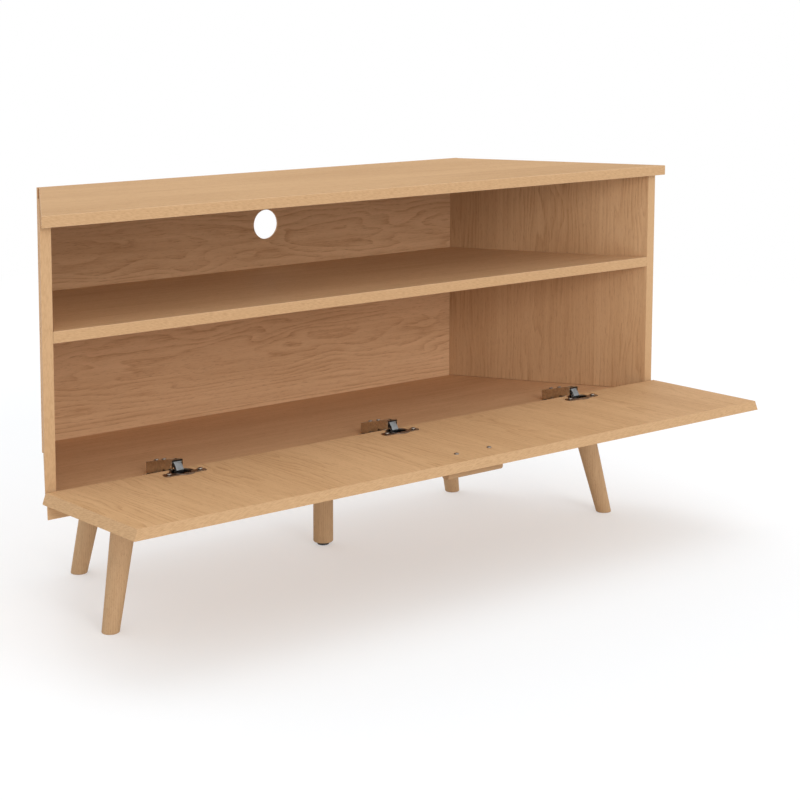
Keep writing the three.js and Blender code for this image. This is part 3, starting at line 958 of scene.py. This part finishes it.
@dataclass(frozen=True)
class Carcass:
    """Top, floor, sides, shelf and back, as veneered boards.

    Args:
        slant: turn of the side panels in plan, in degrees.
        leaf_width: width of the crowned veneer leaves, in metres.
        crown_height: height of the back's lower crown over the floor panel, so that one lies in each bay.
        side_band_dark: dark colour of the side panels' banding.
        back_light: colour of the back's early wood.
        back_dark: colour of the back's late wood.
    """

    slant: float = 29.2
    leaf_width: float = 0.178
    crown_height: float = 97.0
    side_band_dark: Colour = (0.620, 0.392, 0.208)
    back_light: Colour = (0.735, 0.480, 0.280)
    back_dark: Colour = (0.500, 0.292, 0.148)

    def finishes(self) -> dict[str, OakFinish]:
        """Chooses the boards' finishes.

        Returns:
            Each board's finish, by its CAD node.
        """
        turn = math.radians(self.slant)
        crown = (Place(z=self.crown_height).matrix() @ Vector()).z
        level = {"grain": GrainAxis.ALONG_X, "banded": UPWARD}
        crowned = {
            "figure": 9.0, "crown": 1.0, "crown_width": 0.05, "leaf_width": self.leaf_width,
            "loop_length": 0.23, "loop_width": 0.055, "contrast": 0.9,
        }
        back = {
            "grain": GrainAxis.ALONG_X, "light": self.back_light, "dark": self.back_dark,
            "leaf_start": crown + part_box("back_panel")[0][1] - self.leaf_width / 2, **crowned,
        }
        side = {
            "grain": GrainAxis.ALONG_Z, "highlight_share": 0.0, "band_slant": 0.02,
            "band_dark": self.side_band_dark, **crowned,
        }
        left = {"slant": self.slant, "banded": (math.cos(turn), -math.sin(turn), 0.0)}
        right = {"slant": -self.slant, "banded": (math.cos(turn), math.sin(turn), 0.0)}
        return {
            "top_panel": OakFinish("oak_top", seed=3.1, contrast=0.35, tone=(0.88, 0.85, 0.79), **level),
            "floor_panel": OakFinish("oak_floor", seed=7.4, contrast=0.65, tone=(1.01, 0.97, 0.99), **level),
            "shelf_panel": OakFinish("oak_shelf", seed=11.9, contrast=0.45, tone=(0.93, 0.91, 0.92), **level),
            "back_panel": OakFinish("oak_back", seed=5.3, tone=(0.95, 0.917, 0.905), **back),
            "side_panel_left": OakFinish("oak_side_left", seed=9.7, **left, **side),
            "side_panel_right": OakFinish("oak_side_right", seed=13.2, **right, **side),
        }

    def build(self) -> None:
        """Dresses the boards."""
        for node, finish in self.finishes().items():
            dress(node, finish)


@dataclass(frozen=True)
class Screw:
    """A pan-head screw with a cross recess, its head's seat at zero.

    Args:
        head: head radius.
        rise: head height.
        shank: shank radius.
        length: length under the head.
        thread_pitch: distance between the thread's crests.
        thread_depth: depth of the thread.
        thread_start: how many shank radii over the tip the thread starts.
        tip: radius of the tip, and of its upper end as a share of the shank radius.
        under_head: how far the head's underside is drawn in.
        dome: the head's curve, as shares of its radius and height.
        recess_span: length of the recess's slots.
        recess_width: width of the recess's slots.
        recess_depth: depth of the recess.
        recess_over: how far what cuts it runs past the head.
        recess_shade: lowest and highest place of the recess faces that take painted shade, as shares of the
            head height.
        recess_reach: how far from the axis they lie, as a share of the span.
        faces: faces round.
    """

    head: float = 3.6
    rise: float = 1.8
    shank: float = 1.8
    length: float = 11.0
    thread_pitch: float = 1.6
    thread_depth: float = 0.45
    thread_start: float = 1.4
    tip: Point = (0.3, 0.6)
    under_head: float = 0.3
    dome: tuple[Point, ...] = (
        (1.0, 0.14), (0.985, 0.4), (0.93, 0.6), (0.82, 0.78), (0.64, 0.92), (0.4, 0.985), (0.15, 1.0),
    )
    recess_span: float = 3.6
    recess_width: float = 0.75
    recess_depth: float = 1.2
    recess_over: float = 1.0
    recess_shade: Point = (0.3, 0.86)
    recess_reach: float = 0.52
    faces: int = 32

    def draft(self) -> Draft:
        """Draws the screw with its recess cut.

        Returns:
            The draft.
        """
        root = self.shank - self.thread_depth
        start = self.thread_start * self.shank - self.length
        profile = [
            (self.tip[0], -self.length), (self.tip[1] * self.shank, self.shank - self.length),
            *thread(start, -self.thread_pitch, self.thread_pitch, root, self.shank),
            (root, 0.0), (self.head - self.under_head, 0.0),
            *[(self.head * radius, self.rise * height) for radius, height in self.dome],
        ]
        half, wide = self.recess_span / 2, self.recess_width / 2
        heights = self.rise - self.recess_depth, self.rise + self.recess_over
        slots = [Draft().plate(rectangle(-x, -y, x, y), *heights) for x, y in ((half, wide), (wide, half))]
        return Draft().lathe(profile, self.faces).cut(*slots)

    def fit(self, node: str, body: str, seat: Place | None = None, tilt: float = 0.0) -> None:
        """Stands the screw where its CAD node is.

        Args:
            node: the CAD node.
            body: the CAD body that it moves with.
            seat: the middle of the head's seat, where the screw doesn't stand upright.
            tilt: how far its head leans to the back, in radians.
        """
        if seat is None:
            middle = centre_of(node)
            seat = Place(middle.x, middle.y, box_of(node)[1].z - self.rise)
        screw = self.draft().tilt(tilt).piece(node, Made.TURNED, seat, SCREW_STEEL, body)
        low, high = (share * self.rise for share in self.recess_shade)
        upright = Matrix.Rotation(tilt, 3, "X")

        def recessed(middle: Vector) -> bool:
            """Whether a face's middle lies inside the recess, where shade is painted."""
            inner = upright @ middle
            return inner.xy.length < self.recess_reach * self.recess_span and low < inner.z < high

        # painted shade inside the cross recess
        paint_shade(screw, seat, recessed)


@dataclass(frozen=True)
class Flap:
    """The drop flap with the pull under its free edge.

    Args:
        board: the flap's finish.
        bar: the pull's finish.
        rounding: radius of the pull's lower edges.
        rounding_steps: faces round each of them.
        ease: size of the pull's eased edges, and the faces across them.
        screw_length: length of the pull's screws.
    """

    board: OakFinish = OakFinish(
        "oak_flap", GrainAxis.ALONG_Y, 2.2, figure=9.0, crown=1.0, crown_width=0.05, leaf_width=0.125,
        loop_length=0.24, loop_width=0.055, contrast=0.8, banded=UPWARD, tone=(1.0, 0.98, 0.95),
    )
    bar: OakFinish = OakFinish(
        "oak_pull", GrainAxis.ALONG_X, 14.6, contrast=0.35,
        light=(0.530, 0.345, 0.190), dark=(0.380, 0.226, 0.110),
    )
    rounding: float = 5.0
    rounding_steps: int = 8
    ease: tuple[float, int] = (0.8, 3)
    screw_length: float = 22.0

    def build(self) -> None:
        """Dresses the flap and builds the pull and its screws."""
        dress("flap_panel", self.board)
        low, high = box_of("flap_pull")
        half = (high.y - low.y) / 2
        bottom = self.rounding - (high.z - low.z)
        points = [(half, 0.0), (-half, 0.0)]
        for middle, start in ((self.rounding - half, math.pi), (half - self.rounding, 1.5 * math.pi)):
            points += arc((middle, bottom), self.rounding, start, math.pi / 2, self.rounding_steps)
        middle = centre_of("flap_pull")
        bar = Draft().section(points, high.x - low.x).bevel(*self.ease)
        bar.piece("flap_pull", Made.PLANED, Place(middle.x, middle.y, high.z), self.bar, "flap")
        for hand in ("left", "right"):
            Screw(length=self.screw_length).fit(f"pull_screw_{hand}", "flap")


@dataclass(frozen=True)
class Legs:
    """Four splayed legs, the straight centre leg and its glide.

    Args:
        oak: the legs' finish.
        top_radius: radius at a splayed leg's top.
        foot_radius: radius at its foot.
        foot_rounding: rounding of its foot.
        rounding_steps: faces across that rounding.
        faces: faces round a leg.
        rows: rows of faces along a splayed leg.
        settle_steps: steps that find a leg's lean from its box.
        bore: radius and depth of the hole in the centre leg's foot.
        chamfer: the centre leg's foot, as each corner's distance inward and upward.
        glide_faces: faces round the glide.
        glide_foot: the glide's foot, as each corner's distance inward and upward.
        neck: radius and height of the glide's neck.
        stem: root and crest radius of the glide's thread, and the radius of its end.
        stem_start: height of the thread's start.
        stem_end: distance of the thread's end from the glide's top.
        stem_pitch: pitch of the thread.
        stem_rise: share of the pitch from a root to the next crest.
    """

    oak: OakFinish = OakFinish(
        "oak_legs", GrainAxis.ALONG_Z, 21.3, rings=240.0, leaf_width=9.0, contrast=0.6,
        light=(0.640, 0.445, 0.262), dark=(0.465, 0.295, 0.152),
    )
    top_radius: float = 18.9
    foot_radius: float = 12.5
    foot_rounding: float = 1.6
    rounding_steps: int = 4
    faces: int = 72
    rows: int = 10
    settle_steps: int = 4
    bore: Point = (4.3, 1.5)
    chamfer: tuple[Point, ...] = ((1.5, 0.0), (0.4, 1.0), (0.0, 1.9))
    glide_faces: int = 40
    glide_foot: tuple[Point, ...] = ((1.6, 0.0), (0.5, 0.5), (0.0, 1.2), (0.0, 2.4), (0.5, 3.2), (1.4, 3.5))
    neck: Point = (3.6, 3.7)
    stem: Triple = (3.3, 4.0, 3.0)
    stem_start: float = 4.2
    stem_end: float = 1.4
    stem_pitch: float = 1.25
    stem_rise: float = 0.48

    def build(self) -> None:
        """Builds the five legs and the glide."""
        for row in ("front", "rear"):
            for hand in ("left", "right"):
                self.splayed(f"{row}_leg_{hand}")
        self.centre()
        self.glide()

    def line(self, node: str) -> tuple[Vector, Vector]:
        """Finds a splayed leg's axis from its CAD node's box.

        Args:
            node: the CAD node.

        Returns:
            The axis's top and foot.
        """
        low, high = box_of(node)
        outward = 1 if high.x > 0 else -1
        backward = 1 if node.startswith("rear") else -1
        lean = Vector((0.0, 0.0))
        top, foot = Vector((0, 0, high.z)), Vector((0, 0, low.z))
        for _ in range(self.settle_steps):
            for axis, way in ((0, outward), (1, backward)):
                wide = math.sqrt(1 + lean[axis] ** 2)
                near, far = (low[axis], high[axis]) if way > 0 else (high[axis], low[axis])
                top[axis] = near + way * self.top_radius * wide
                foot[axis] = far - way * self.foot_radius * wide
            lean = (foot - top).xy / (top.z - foot.z)
        return top, foot

    def splayed(self, node: str) -> None:
        """Builds a tapered leg, cut level at both ends with a rounded foot.

        Args:
            node: the CAD node.
        """
        top, foot = self.line(node)
        lean = (foot - top).xy / (top.z - foot.z)
        along = lean.normalized()
        stretch = math.sqrt(1 + lean.length_squared)
        share = self.foot_rounding / (top.z - foot.z)
        stations = [(i / self.rows, 0.0) for i in range(self.rows)]
        for inset, up in arc((1.0, 1.0), 1.0, math.pi, math.pi / 2, self.rounding_steps):
            stations.append((1 - share * up, self.foot_rounding * inset))
        loops = []
        for down, inset in stations:
            middle = top.lerp(foot, down)
            radius = self.top_radius + (self.foot_radius - self.top_radius) * down - inset
            loop = []
            for i in range(self.faces):
                angle = 2 * math.pi * i / self.faces
                forth, side = radius * stretch * math.cos(angle), radius * math.sin(angle)
                x, y = along.x * forth - along.y * side, along.y * forth + along.x * side
                loop.append(middle + Vector((x, y, 0.0)))
            loops.append(loop)
        Draft().rings(loops).piece(node, Made.TURNED, Place(), self.oak, "carcass")

    def centre(self) -> None:
        """Builds the straight leg with its chamfered foot."""
        node = "centre_leg"
        low, high = box_of(node)
        middle = centre_of(node)
        radius = (high.x - low.x) / 2
        foot = low.z - high.z
        hole, deep = self.bore
        chamfer = [(radius - inward, foot + upward) for inward, upward in self.chamfer]
        turned = Draft().lathe([(hole, foot + deep), (hole, foot), *chamfer, (radius, 0.0)], self.faces)
        turned.piece(node, Made.TURNED, Place(middle.x, middle.y, high.z), self.oak, "carcass")

    def glide(self) -> None:
        """Builds the screw-in glide, a rounded foot with a threaded stem."""
        node = "centre_leg_glide"
        low, high = box_of(node)
        middle = centre_of(node)
        radius = (high.x - low.x) / 2
        tall = high.z - low.z
        root, crest, end = self.stem
        foot = [(radius - inward, upward) for inward, upward in self.glide_foot]
        stem = thread(self.stem_start, tall - self.stem_end, self.stem_pitch, root, crest, self.stem_rise)
        moulded = Draft().lathe([*foot, self.neck, *stem, (end, tall)], self.glide_faces)
        moulded.piece(node, Made.MOULDED, Place(middle.x, middle.y, low.z), BLACK_PLASTIC, "glide")


@dataclass(frozen=True)
class HingePlate:
    """A hinge's mounting plate: a cross wing under a rail.

    Args:
        wing_y: the wing's middle.
        wing_radius: radius of its round ends.
        wing_steps: faces round each of them.
        wing_heights: the wing's underside and upper side.
        wing_ease: size of its eased edges.
        rail: the rail's side view.
        rail_width: the rail's width.
        rail_ease: size of its eased edges.
    """

    wing_y: float = 37.0
    wing_radius: float = 7.0
    wing_steps: int = 12
    wing_heights: Point = (0.3, 2.3)
    wing_ease: float = 0.35
    rail: tuple[Point, ...] = (
        (12.0, 0.35), (54.0, 0.35), (54.0, 9.5), (51.0, 12.3), (14.0, 12.3), (12.0, 10.8),
    )
    rail_width: float = 15.0
    rail_ease: float = 0.6

    def build(self, side: str, place: Place) -> None:
        """Builds the plate.

        Args:
            side: which hinge it belongs to.
            place: where the hinge stands.
        """
        node = f"hinge_plate_{side}"
        low, high = box_of(node)
        straight = (high.x - low.x) / 2 - self.wing_radius
        wing: list[Point] = []
        for way in (1, -1):
            middle = (way * straight, self.wing_y)
            wing += arc(middle, self.wing_radius, way * math.pi / 2, -math.pi, self.wing_steps)
        rail = Draft().section(self.rail, self.rail_width).bevel(self.rail_ease)
        plate = Draft().plate(wing, *self.wing_heights).bevel(self.wing_ease).joined(rail)
        plate.piece(node, Made.PRESSED, place, HINGE_STEEL, "carcass")


@dataclass(frozen=True)
class HingeArm:
    """A hinge's folded arm, which falls to the rear over its plate, with slots and riveted pins.

    Args:
        width: the arm's width.
        wall: thickness of its steel.
        rear: its rear end.
        rear_top: its height at the rear end.
        knee: where its top turns level.
        nose: its front end.
        nose_top: its height at the front.
        skirt: height of its cheeks' lower edge.
        cheek: the rest of the cheeks' outline, from the nose to the rear.
        ease: size of the eased edges.
        clear: how far the hollow runs past both ends and under the skirt.
        drill: lower and upper end of what cuts the slots and the bore into the top.
        rear_screw: place of the rear screw.
        slide: half the width and half the length of the rear screw's slot.
        front_screw: place of the front screw.
        bore: radius of the front screw's hole.
        bore_faces: faces round it.
        nose_slot: half the width, the front and the rear of the slot over the outer link.
        machine: the two machine screws, whose length follows from the arm.
        screw_tip: height of the screws' lower ends.
        seat_gap: gap under the screws' heads.
        pin_radius: radius of the links' pins.
        pin_proud: how far each pin stands out.
        pin_round: rounding of the pins' ends.
        lip: depth of the painted shade round the open front.
    """

    width: float = 18.0
    wall: float = 1.2
    rear: float = 54.0
    rear_top: float = 16.8
    knee: float = -4.0
    nose: float = -12.3
    nose_top: float = 31.0
    skirt: float = 2.6
    cheek: tuple[Point, ...] = ((-12.3, 19.0), (-6.0, 18.0), (2.0, 14.5), (12.0, 14.5), (18.0, 2.6))
    ease: float = 0.4
    clear: float = 6.0
    drill: Point = (13.0, 40.0)
    rear_screw: float = 41.0
    slide: Point = (2.6, 5.5)
    front_screw: float = 22.0
    bore: float = 2.7
    bore_faces: int = 24
    nose_slot: Triple = (3.0, -9.8, -1.8)
    machine: Screw = Screw(head=3.4, shank=2.2, thread_pitch=0.8, thread_depth=0.3)
    screw_tip: float = 5.0
    seat_gap: float = 0.3
    pin_radius: float = 1.0
    pin_proud: float = 0.6
    pin_round: float = 0.35
    lip: float = 0.6

    def fall(self) -> float:
        """The slope of the arm's top, as an angle in radians."""
        return math.atan2(self.nose_top - self.rear_top, self.rear - self.knee)

    def top_at(self, back: float) -> float:
        """The height of the arm's top at a distance behind the side panels' front edges."""
        return self.rear_top + (self.rear - back) * math.tan(self.fall())

    def build(self, side: str, place: Place, pins: Sequence[Point]) -> None:
        """Builds the arm.

        Args:
            side: which hinge it belongs to.
            place: where the hinge stands.
            pins: y and z of the links' pins.
        """
        top = [(self.rear, self.rear_top), (self.knee, self.nose_top), (self.nose, self.nose_top)]
        outline = [(self.rear, self.skirt), *top, *self.cheek]
        shell = Draft().section(outline, self.width).bevel(self.ease, over=60.0)
        rear, front = self.rear + self.clear, self.nose - self.clear
        under, ground = self.nose_top - self.wall, self.skirt - self.clear
        sheet = [(rear, self.top_at(rear) - self.wall), (self.knee, under), (front, under)]
        hollow = Draft().section([(rear, ground), *sheet, (front, ground)], self.width - 2 * self.wall)
        half, slot_front, slot_rear = self.nose_slot
        slot = Draft().plate(rectangle(-half, slot_front, half, slot_rear), *self.drill)
        wide, long = self.slide
        slide_plan = rectangle(-wide, self.rear_screw - long, wide, self.rear_screw + long)
        slide = Draft().plate(slide_plan, *self.drill)
        middle = Vector((0.0, self.front_screw, 0.0))
        hole = Draft().lathe([(self.bore, height) for height in self.drill], self.bore_faces, middle)
        reach = self.width + 2 * self.pin_proud
        rivets = [Draft().rod(self.pin_radius, reach, pin, crown=self.pin_round) for pin in pins]
        folded = shell.cut(hollow, slot, slide, hole).joined(*rivets)
        arm = folded.piece(f"hinge_arm_{side}", Made.FOLDED, place, HINGE_STEEL, "carcass")
        # painted shade on the front faces round the arm's open nose, where the shadow under the nose falls
        paint_shade(arm, place, lambda middle: middle.y < self.nose + self.lip)

    def build_screws(self, side: str, place: Place) -> None:
        """Builds the two machine screws, which stand square to the sloping top.

        Args:
            side: which hinge they belong to.
            place: where the hinge stands.
        """
        fall = self.fall()
        for row, back in (("rear", self.rear_screw), ("front", self.front_screw)):
            top = self.top_at(back)
            length = (top - self.screw_tip) / math.cos(fall) + self.seat_gap
            seat = Place(place.x, back + self.seat_gap * math.sin(fall), top + self.seat_gap * math.cos(fall))
            machine = replace(self.machine, length=length)
            machine.fit(f"arm_screw_{side}_{row}", "carcass", seat, fall)


@dataclass(frozen=True)
class HingeLink:
    """A link between a hinge's arm and its cup, as a strip with an eye and a rolled end.

    Args:
        name: which of the links it is.
        pin: y and z of its pin in the arm.
        tip: y and z of its rolled end in the cup.
        width: its width.
        thickness: thickness of the strip.
        start: the strip's start, from the pin.
        bends: the strip's corners from the pin, as shares of the pin's distance from the tip.
        fork: margins in front, behind, under and over the tip of the gap between its two prongs.
        fork_width: width of that gap, or 0 for a link without one.
        ease: size of the strip's eased edges.
        eye: radius of the eye.
        eye_faces: faces round it.
        hole: radius of the pin's hole.
        roll: radius of the rolled end.
        crown: rounding of the eye's and the roll's ends.
    """

    name: str
    pin: Point
    tip: Point
    width: float
    thickness: float
    start: Point = (0.0, 0.0)
    bends: tuple[Point, ...] = ()
    fork: tuple[float, float, float, float] = (3.3, 4.0, 4.0, 3.4)
    fork_width: float = 0.0
    ease: float = 0.25
    eye: float = 2.1
    eye_faces: int = 32
    hole: float = 1.3
    roll: float = 1.1
    crown: float = 0.2

    def build(self, side: str, place: Place) -> None:
        """Builds the link.

        Args:
            side: which hinge it belongs to.
            place: where the hinge stands.
        """
        pin, tip = Vector(self.pin), Vector(self.tip)
        span = (tip - pin).length
        path = [pin + Vector(self.start), *[pin + Vector(bend) * span for bend in self.bends], tip]
        strip = Draft().section(strip_outline(path, self.thickness), self.width).bevel(self.ease)
        eye = Draft().rod(self.eye, self.width, self.pin, self.eye_faces, self.crown)
        roll = Draft().rod(self.roll, self.width, self.tip, crown=self.crown)
        cutters = [Draft().rod(self.hole, 2 * self.width, self.pin)]
        if self.fork_width:
            front, rear, under, over = self.fork
            gap = rectangle(tip.x - front, tip.y - under, tip.x + rear, tip.y + over)
            cutters.append(Draft().section(gap, self.fork_width))
        link = f"{self.name}_link_{side}"
        strip.joined(eye, roll).cut(*cutters).piece(f"hinge_{link}", Made.PRESSED, place, LINK_METAL, link)


@dataclass(frozen=True)
class HingeCup:
    """A hinge's pressed cup in the flap, with its rolled rim and its two-eared flange.

    Args:
        radius: the cup's outer radius.
        wall: thickness of its wall.
        axis: radius of the small flats on the cup's axis.
        floor: thickness of the cup's floor.
        outside: the outer bottom edge, as each corner's distance past the radius and over the bottom.
        rim: the rolled rim, as each corner's distance past the radius and over the flange's underside.
        inside: the inner bottom edge, given as the outer one is.
        ear: plan of the flange's right half.
        flange_thickness: the flange's thickness.
        ease: size of its eased edges.
        opening: half the width and the front of the flange's opening, and the cut of its front corners.
        screw_hole: x and y of the right screw hole, and its radius.
        hole_faces: faces round it.
        drill: lower and upper end of what cuts the opening and the screw holes.
        reach: distance from the cup's middle to the rim's outer line.
        rim_height: height of the rim over the flange's underside.
        well_shade_height: height under which shade is painted on the inside.
        faces: faces round.
    """

    radius: float = 17.5
    wall: float = 0.9
    axis: float = 0.2
    floor: float = 0.6
    outside: tuple[Point, ...] = ((-1.6, 0.0), (-0.5, 0.5), (0.0, 1.6))
    rim: tuple[Point, ...] = (
        (0.0, -0.2), (0.9, 0.0), (1.1, 0.5), (0.8, 1.0), (0.0, 1.2), (-0.6, 1.1), (-0.9, 0.6), (-0.9, -1.4),
    )
    inside: tuple[Point, ...] = ((-0.9, 2.4), (-2.2, 0.9))
    ear: tuple[Point, ...] = (
        (16.0, -2.0), (19.8, -2.4), (22.6, -0.8), (25.8, 1.6), (29.0, 2.2), (31.8, 0.8), (33.6, -2.2),
        (34.0, -6.0), (33.8, -10.2), (32.4, -12.6), (29.8, -13.4), (10.0, -13.5),
    )
    flange_thickness: float = 1.0
    ease: float = 0.3
    opening: Triple = (11.5, -9.6, 3.0)
    screw_hole: Triple = (26.0, -5.5, 2.1)
    hole_faces: int = 24
    drill: Point = (-5.0, 5.0)
    reach: float = 18.6
    rim_height: float = 1.2
    well_shade_height: float = -1.4
    faces: int = 64

    def build(self, side: str, x: float) -> None:
        """Builds the cup.

        Args:
            side: which hinge it belongs to.
            x: where the hinge stands.
        """
        node = f"hinge_cup_{side}"
        low, high = box_of(node)
        place = Place(x, high.y - self.reach, high.z - self.rim_height)
        bottom = low.z - place.z
        outside = [(self.radius + past, bottom + over) for past, over in self.outside]
        inside = [(self.radius + past, bottom + over) for past, over in self.inside]
        rim = [(self.radius + past, over) for past, over in self.rim]
        profile = [(self.axis, bottom), *outside, *rim, *inside, (self.axis, bottom + self.floor)]

        half, front, cut = self.opening
        rear = self.radius - self.wall
        corners = [(-half, front + cut), (cut - half, front), (half - cut, front), (half, front + cut)]
        opening = Draft().plate([*corners, (half, rear), (-half, rear)], *self.drill)
        hole_x, hole_y, bore = self.screw_hole
        middles = [Vector((way * hole_x, hole_y, 0.0)) for way in (-1, 1)]
        hole = [(bore, height) for height in self.drill]
        holes = [Draft().lathe(hole, self.hole_faces, middle) for middle in middles]
        flange = [*self.ear, *[(-x, y) for x, y in self.ear[::-1]]]
        ears = Draft().plate(flange, 0.0, self.flange_thickness).bevel(self.ease, over=60.0)
        pressed = Draft().lathe(profile, self.faces).joined(ears.cut(opening, *holes))
        cup = pressed.piece(node, Made.PRESSED, place, CUP_METAL, "flap")
        inner = self.radius - self.wall / 2
        # painted shade on the cup's inside, below the height where the shadow in the well starts
        paint_shade(cup, place, lambda middle: middle.xy.length < inner and middle.z < self.well_shade_height)


@dataclass(frozen=True)
class Hinges:
    """The three cup hinges: plate and arm on the floor panel, two links, the cup in the flap and the screws.

    Args:
        sides: the hinges' names.
        plate: their mounting plate.
        arm: their arm.
        outer: their outer link, which bends round the cup's rim.
        inner: their inner link.
        cup: their cup.
        cup_screw: length of the cups' screws.
        plate_screw: length of the plates' screws.
    """

    sides: tuple[str, ...] = ("left", "middle", "right")
    plate: HingePlate = HingePlate()
    arm: HingeArm = HingeArm()
    outer: HingeLink = HingeLink(
        "outer", (-10.0, 27.0), (-13.14, 13.76), 12.0, 1.4, start=(-1.4, 0.0),
        bends=((-0.46, -0.33), (-0.64, -0.68), (-0.58, -0.93)), fork_width=6.6,
    )
    inner: HingeLink = HingeLink("inner", (-8.0, 21.5), (-11.58, 13.29), 6.0, 1.6)
    cup: HingeCup = HingeCup()
    cup_screw: float = 11.0
    plate_screw: float = 13.0

    def build(self) -> None:
        """Builds the hinges from left to right."""
        for side in self.sides:
            place = Place(centre_of(f"hinge_plate_{side}").x)
            self.plate.build(side, place)
            self.arm.build(side, place, (self.outer.pin, self.inner.pin))
            self.outer.build(side, place)
            self.inner.build(side, place)
            self.cup.build(side, place.x)
            for hand in ("left", "right"):
                Screw(length=self.cup_screw).fit(f"cup_screw_{side}_{hand}", "flap")
                Screw(length=self.plate_screw).fit(f"plate_screw_{side}_{hand}", "carcass")
            self.arm.build_screws(side, place)


@dataclass(frozen=True)
class Viewpoint:
    """The photograph's camera.

    Args:
        place: where it stands.
        turn: its turn to the right, in degrees.
        down: how far it looks down, in degrees.
        roll: its roll, in degrees.
        lens: its focal length, in millimetres.
        sensor: width of its sensor, in millimetres.
        shift: its lens shift, as a share of the picture.
    """

    place: Triple = (-1.8427, -2.24715, 0.8797)
    turn: float = 40.252
    down: float = 7.354
    roll: float = 0.194
    lens: float = 86.31
    sensor: float = 36.0
    shift: float = -0.2

    def build(self) -> None:
        """Makes the camera and gives it to the scene."""
        data = bpy.data.cameras.new("viewpoint")
        data.lens = self.lens
        data.sensor_width = self.sensor
        data.shift_y = self.shift
        camera = add_object("viewpoint", data)
        turned = Matrix.Rotation(-math.radians(self.turn), 4, "Z")
        tilted = Matrix.Rotation(math.radians(90 - self.down), 4, "X")
        rolled = Matrix.Rotation(math.radians(self.roll), 4, "Z")
        camera.matrix_world = Matrix.Translation(self.place) @ turned @ tilted @ rolled
        bpy.context.scene.camera = camera


@dataclass(frozen=True)
class Lamp:
    """A broad light that falls evenly.

    Args:
        name: the light's name.
        strength: its irradiance.
        softness: its width in the sky, in degrees.
        source: the direction that it comes from.
    """

    name: str
    strength: float
    softness: float
    source: Triple

    def build(self) -> None:
        """Hangs the light in the scene."""
        data = bpy.data.lights.new(self.name, "SUN")
        data.energy = self.strength
        data.angle = math.radians(self.softness)
        lamp = add_object(self.name, data)
        lamp.rotation_mode = "QUATERNION"
        lamp.rotation_quaternion = Vector(self.source).to_track_quat("Z", "Y")


@dataclass(frozen=True)
class Studio:
    """A pale floor under an even sky, with four broad lamps.

    Args:
        lamps: the lamps.
        sky: the sky's strength.
        floor_radius: radius of the floor.
        floor_faces: its corners.
        floor_colour: its colour.
        floor_roughness: its roughness.
        lift: how far the floor is lifted to plain white near the cabinet.
        near: distance from the middle at which the floor starts to turn plain white.
        far: distance at which it is plain white.
    """

    lamps: tuple[Lamp, ...] = (
        Lamp("front_light", 0.99, 25.0, (-0.15, -1.0, 0.36)),
        Lamp("top_light", 0.42, 36.0, (0.05, 0.0, 1.0)),
        Lamp("high_light", 0.32, 40.0, (-0.6, -0.6, 1.0)),
        Lamp("rear_light", 0.44, 60.0, (0.0, 1.0, 1.0)),
    )
    sky: float = 0.72
    floor_radius: float = 14.0
    floor_faces: int = 96
    floor_colour: Colour = (0.940, 0.962, 0.985)
    floor_roughness: float = 0.9
    lift: float = 0.36
    near: float = 1.6
    far: float = 3.2

    def build(self) -> None:
        """Builds the floor, the sky and the lamps."""
        self.floor()
        self.world()
        for lamp in self.lamps:
            lamp.build()
        bpy.context.scene.view_settings.view_transform = "Standard"

    @staticmethod
    def seen(graph: ShaderGraph) -> Signal:
        """Finds the rays that show the background to the camera, in metal or through glass.

        Args:
            graph: the tree that asks.

        Returns:
            1 for those rays and 0 for the others.
        """
        path = graph.add("LightPath")
        kinds = ("Camera", "Glossy", "Transmission")
        camera, glossy, through = (graph.take(path, f"Is {kind} Ray") for kind in kinds)
        return graph.math("MINIMUM", camera + glossy + through, 1.0)

    def floor(self) -> None:
        """Builds the round floor, which turns plain white away from the cabinet."""
        mesh = bmesh.new()
        bmesh.ops.create_circle(mesh, cap_ends=True, segments=self.floor_faces, radius=self.floor_radius)
        data = bpy.data.meshes.new("studio_floor")
        mesh.to_mesh(data)
        mesh.free()
        add_object("studio_floor", data)
        material, graph, shader = start_material("studio_floor")
        data.materials.append(material)
        colour = (*self.floor_colour, 1.0)
        plain = {"Base Color": colour, "Roughness": self.floor_roughness, "Specular IOR Level": 0.0}
        graph.feed(shader.inputs, plain)
        where = graph.take(graph.add("TexCoord"), "Object")
        distance = graph.take(graph.add("VectorMath", {0: where}, operation="LENGTH"), "Value")
        away = graph.ramp(distance, self.near, self.far, self.lift, 1.0)
        white = graph.first("Emission", {"Color": WHITE, "Strength": 1.0})
        blend = graph.first("MixShader", {0: away * self.seen(graph), 1: graph.take(shader), 2: white})
        out = next(node for node in graph.tree.nodes if node.type == "OUTPUT_MATERIAL")
        graph.feed(out.inputs, {"Surface": blend})

    def world(self) -> None:
        """Lights the scene evenly and shows white behind it."""
        world = bpy.data.worlds.new("sky")
        world.use_nodes = True
        bpy.context.scene.world = world
        graph = ShaderGraph(world.node_tree)
        background = next(node for node in world.node_tree.nodes if node.type == "BACKGROUND")
        strength = self.seen(graph) * (1.0 - self.sky) + self.sky
        graph.feed(background.inputs, {"Color": WHITE, "Strength": strength})


def main() -> None:
    """Builds the camera, the studio and each sub-assembly in order."""
    logging.basicConfig(level=logging.INFO, format="%(name)s: %(message)s")
    Viewpoint().build()
    Studio().build()
    Carcass().build()
    Legs().build()
    Hinges().build()
    Flap().build()
    LOG.info("cabinet built")


if __name__ == "__main__":
    main()
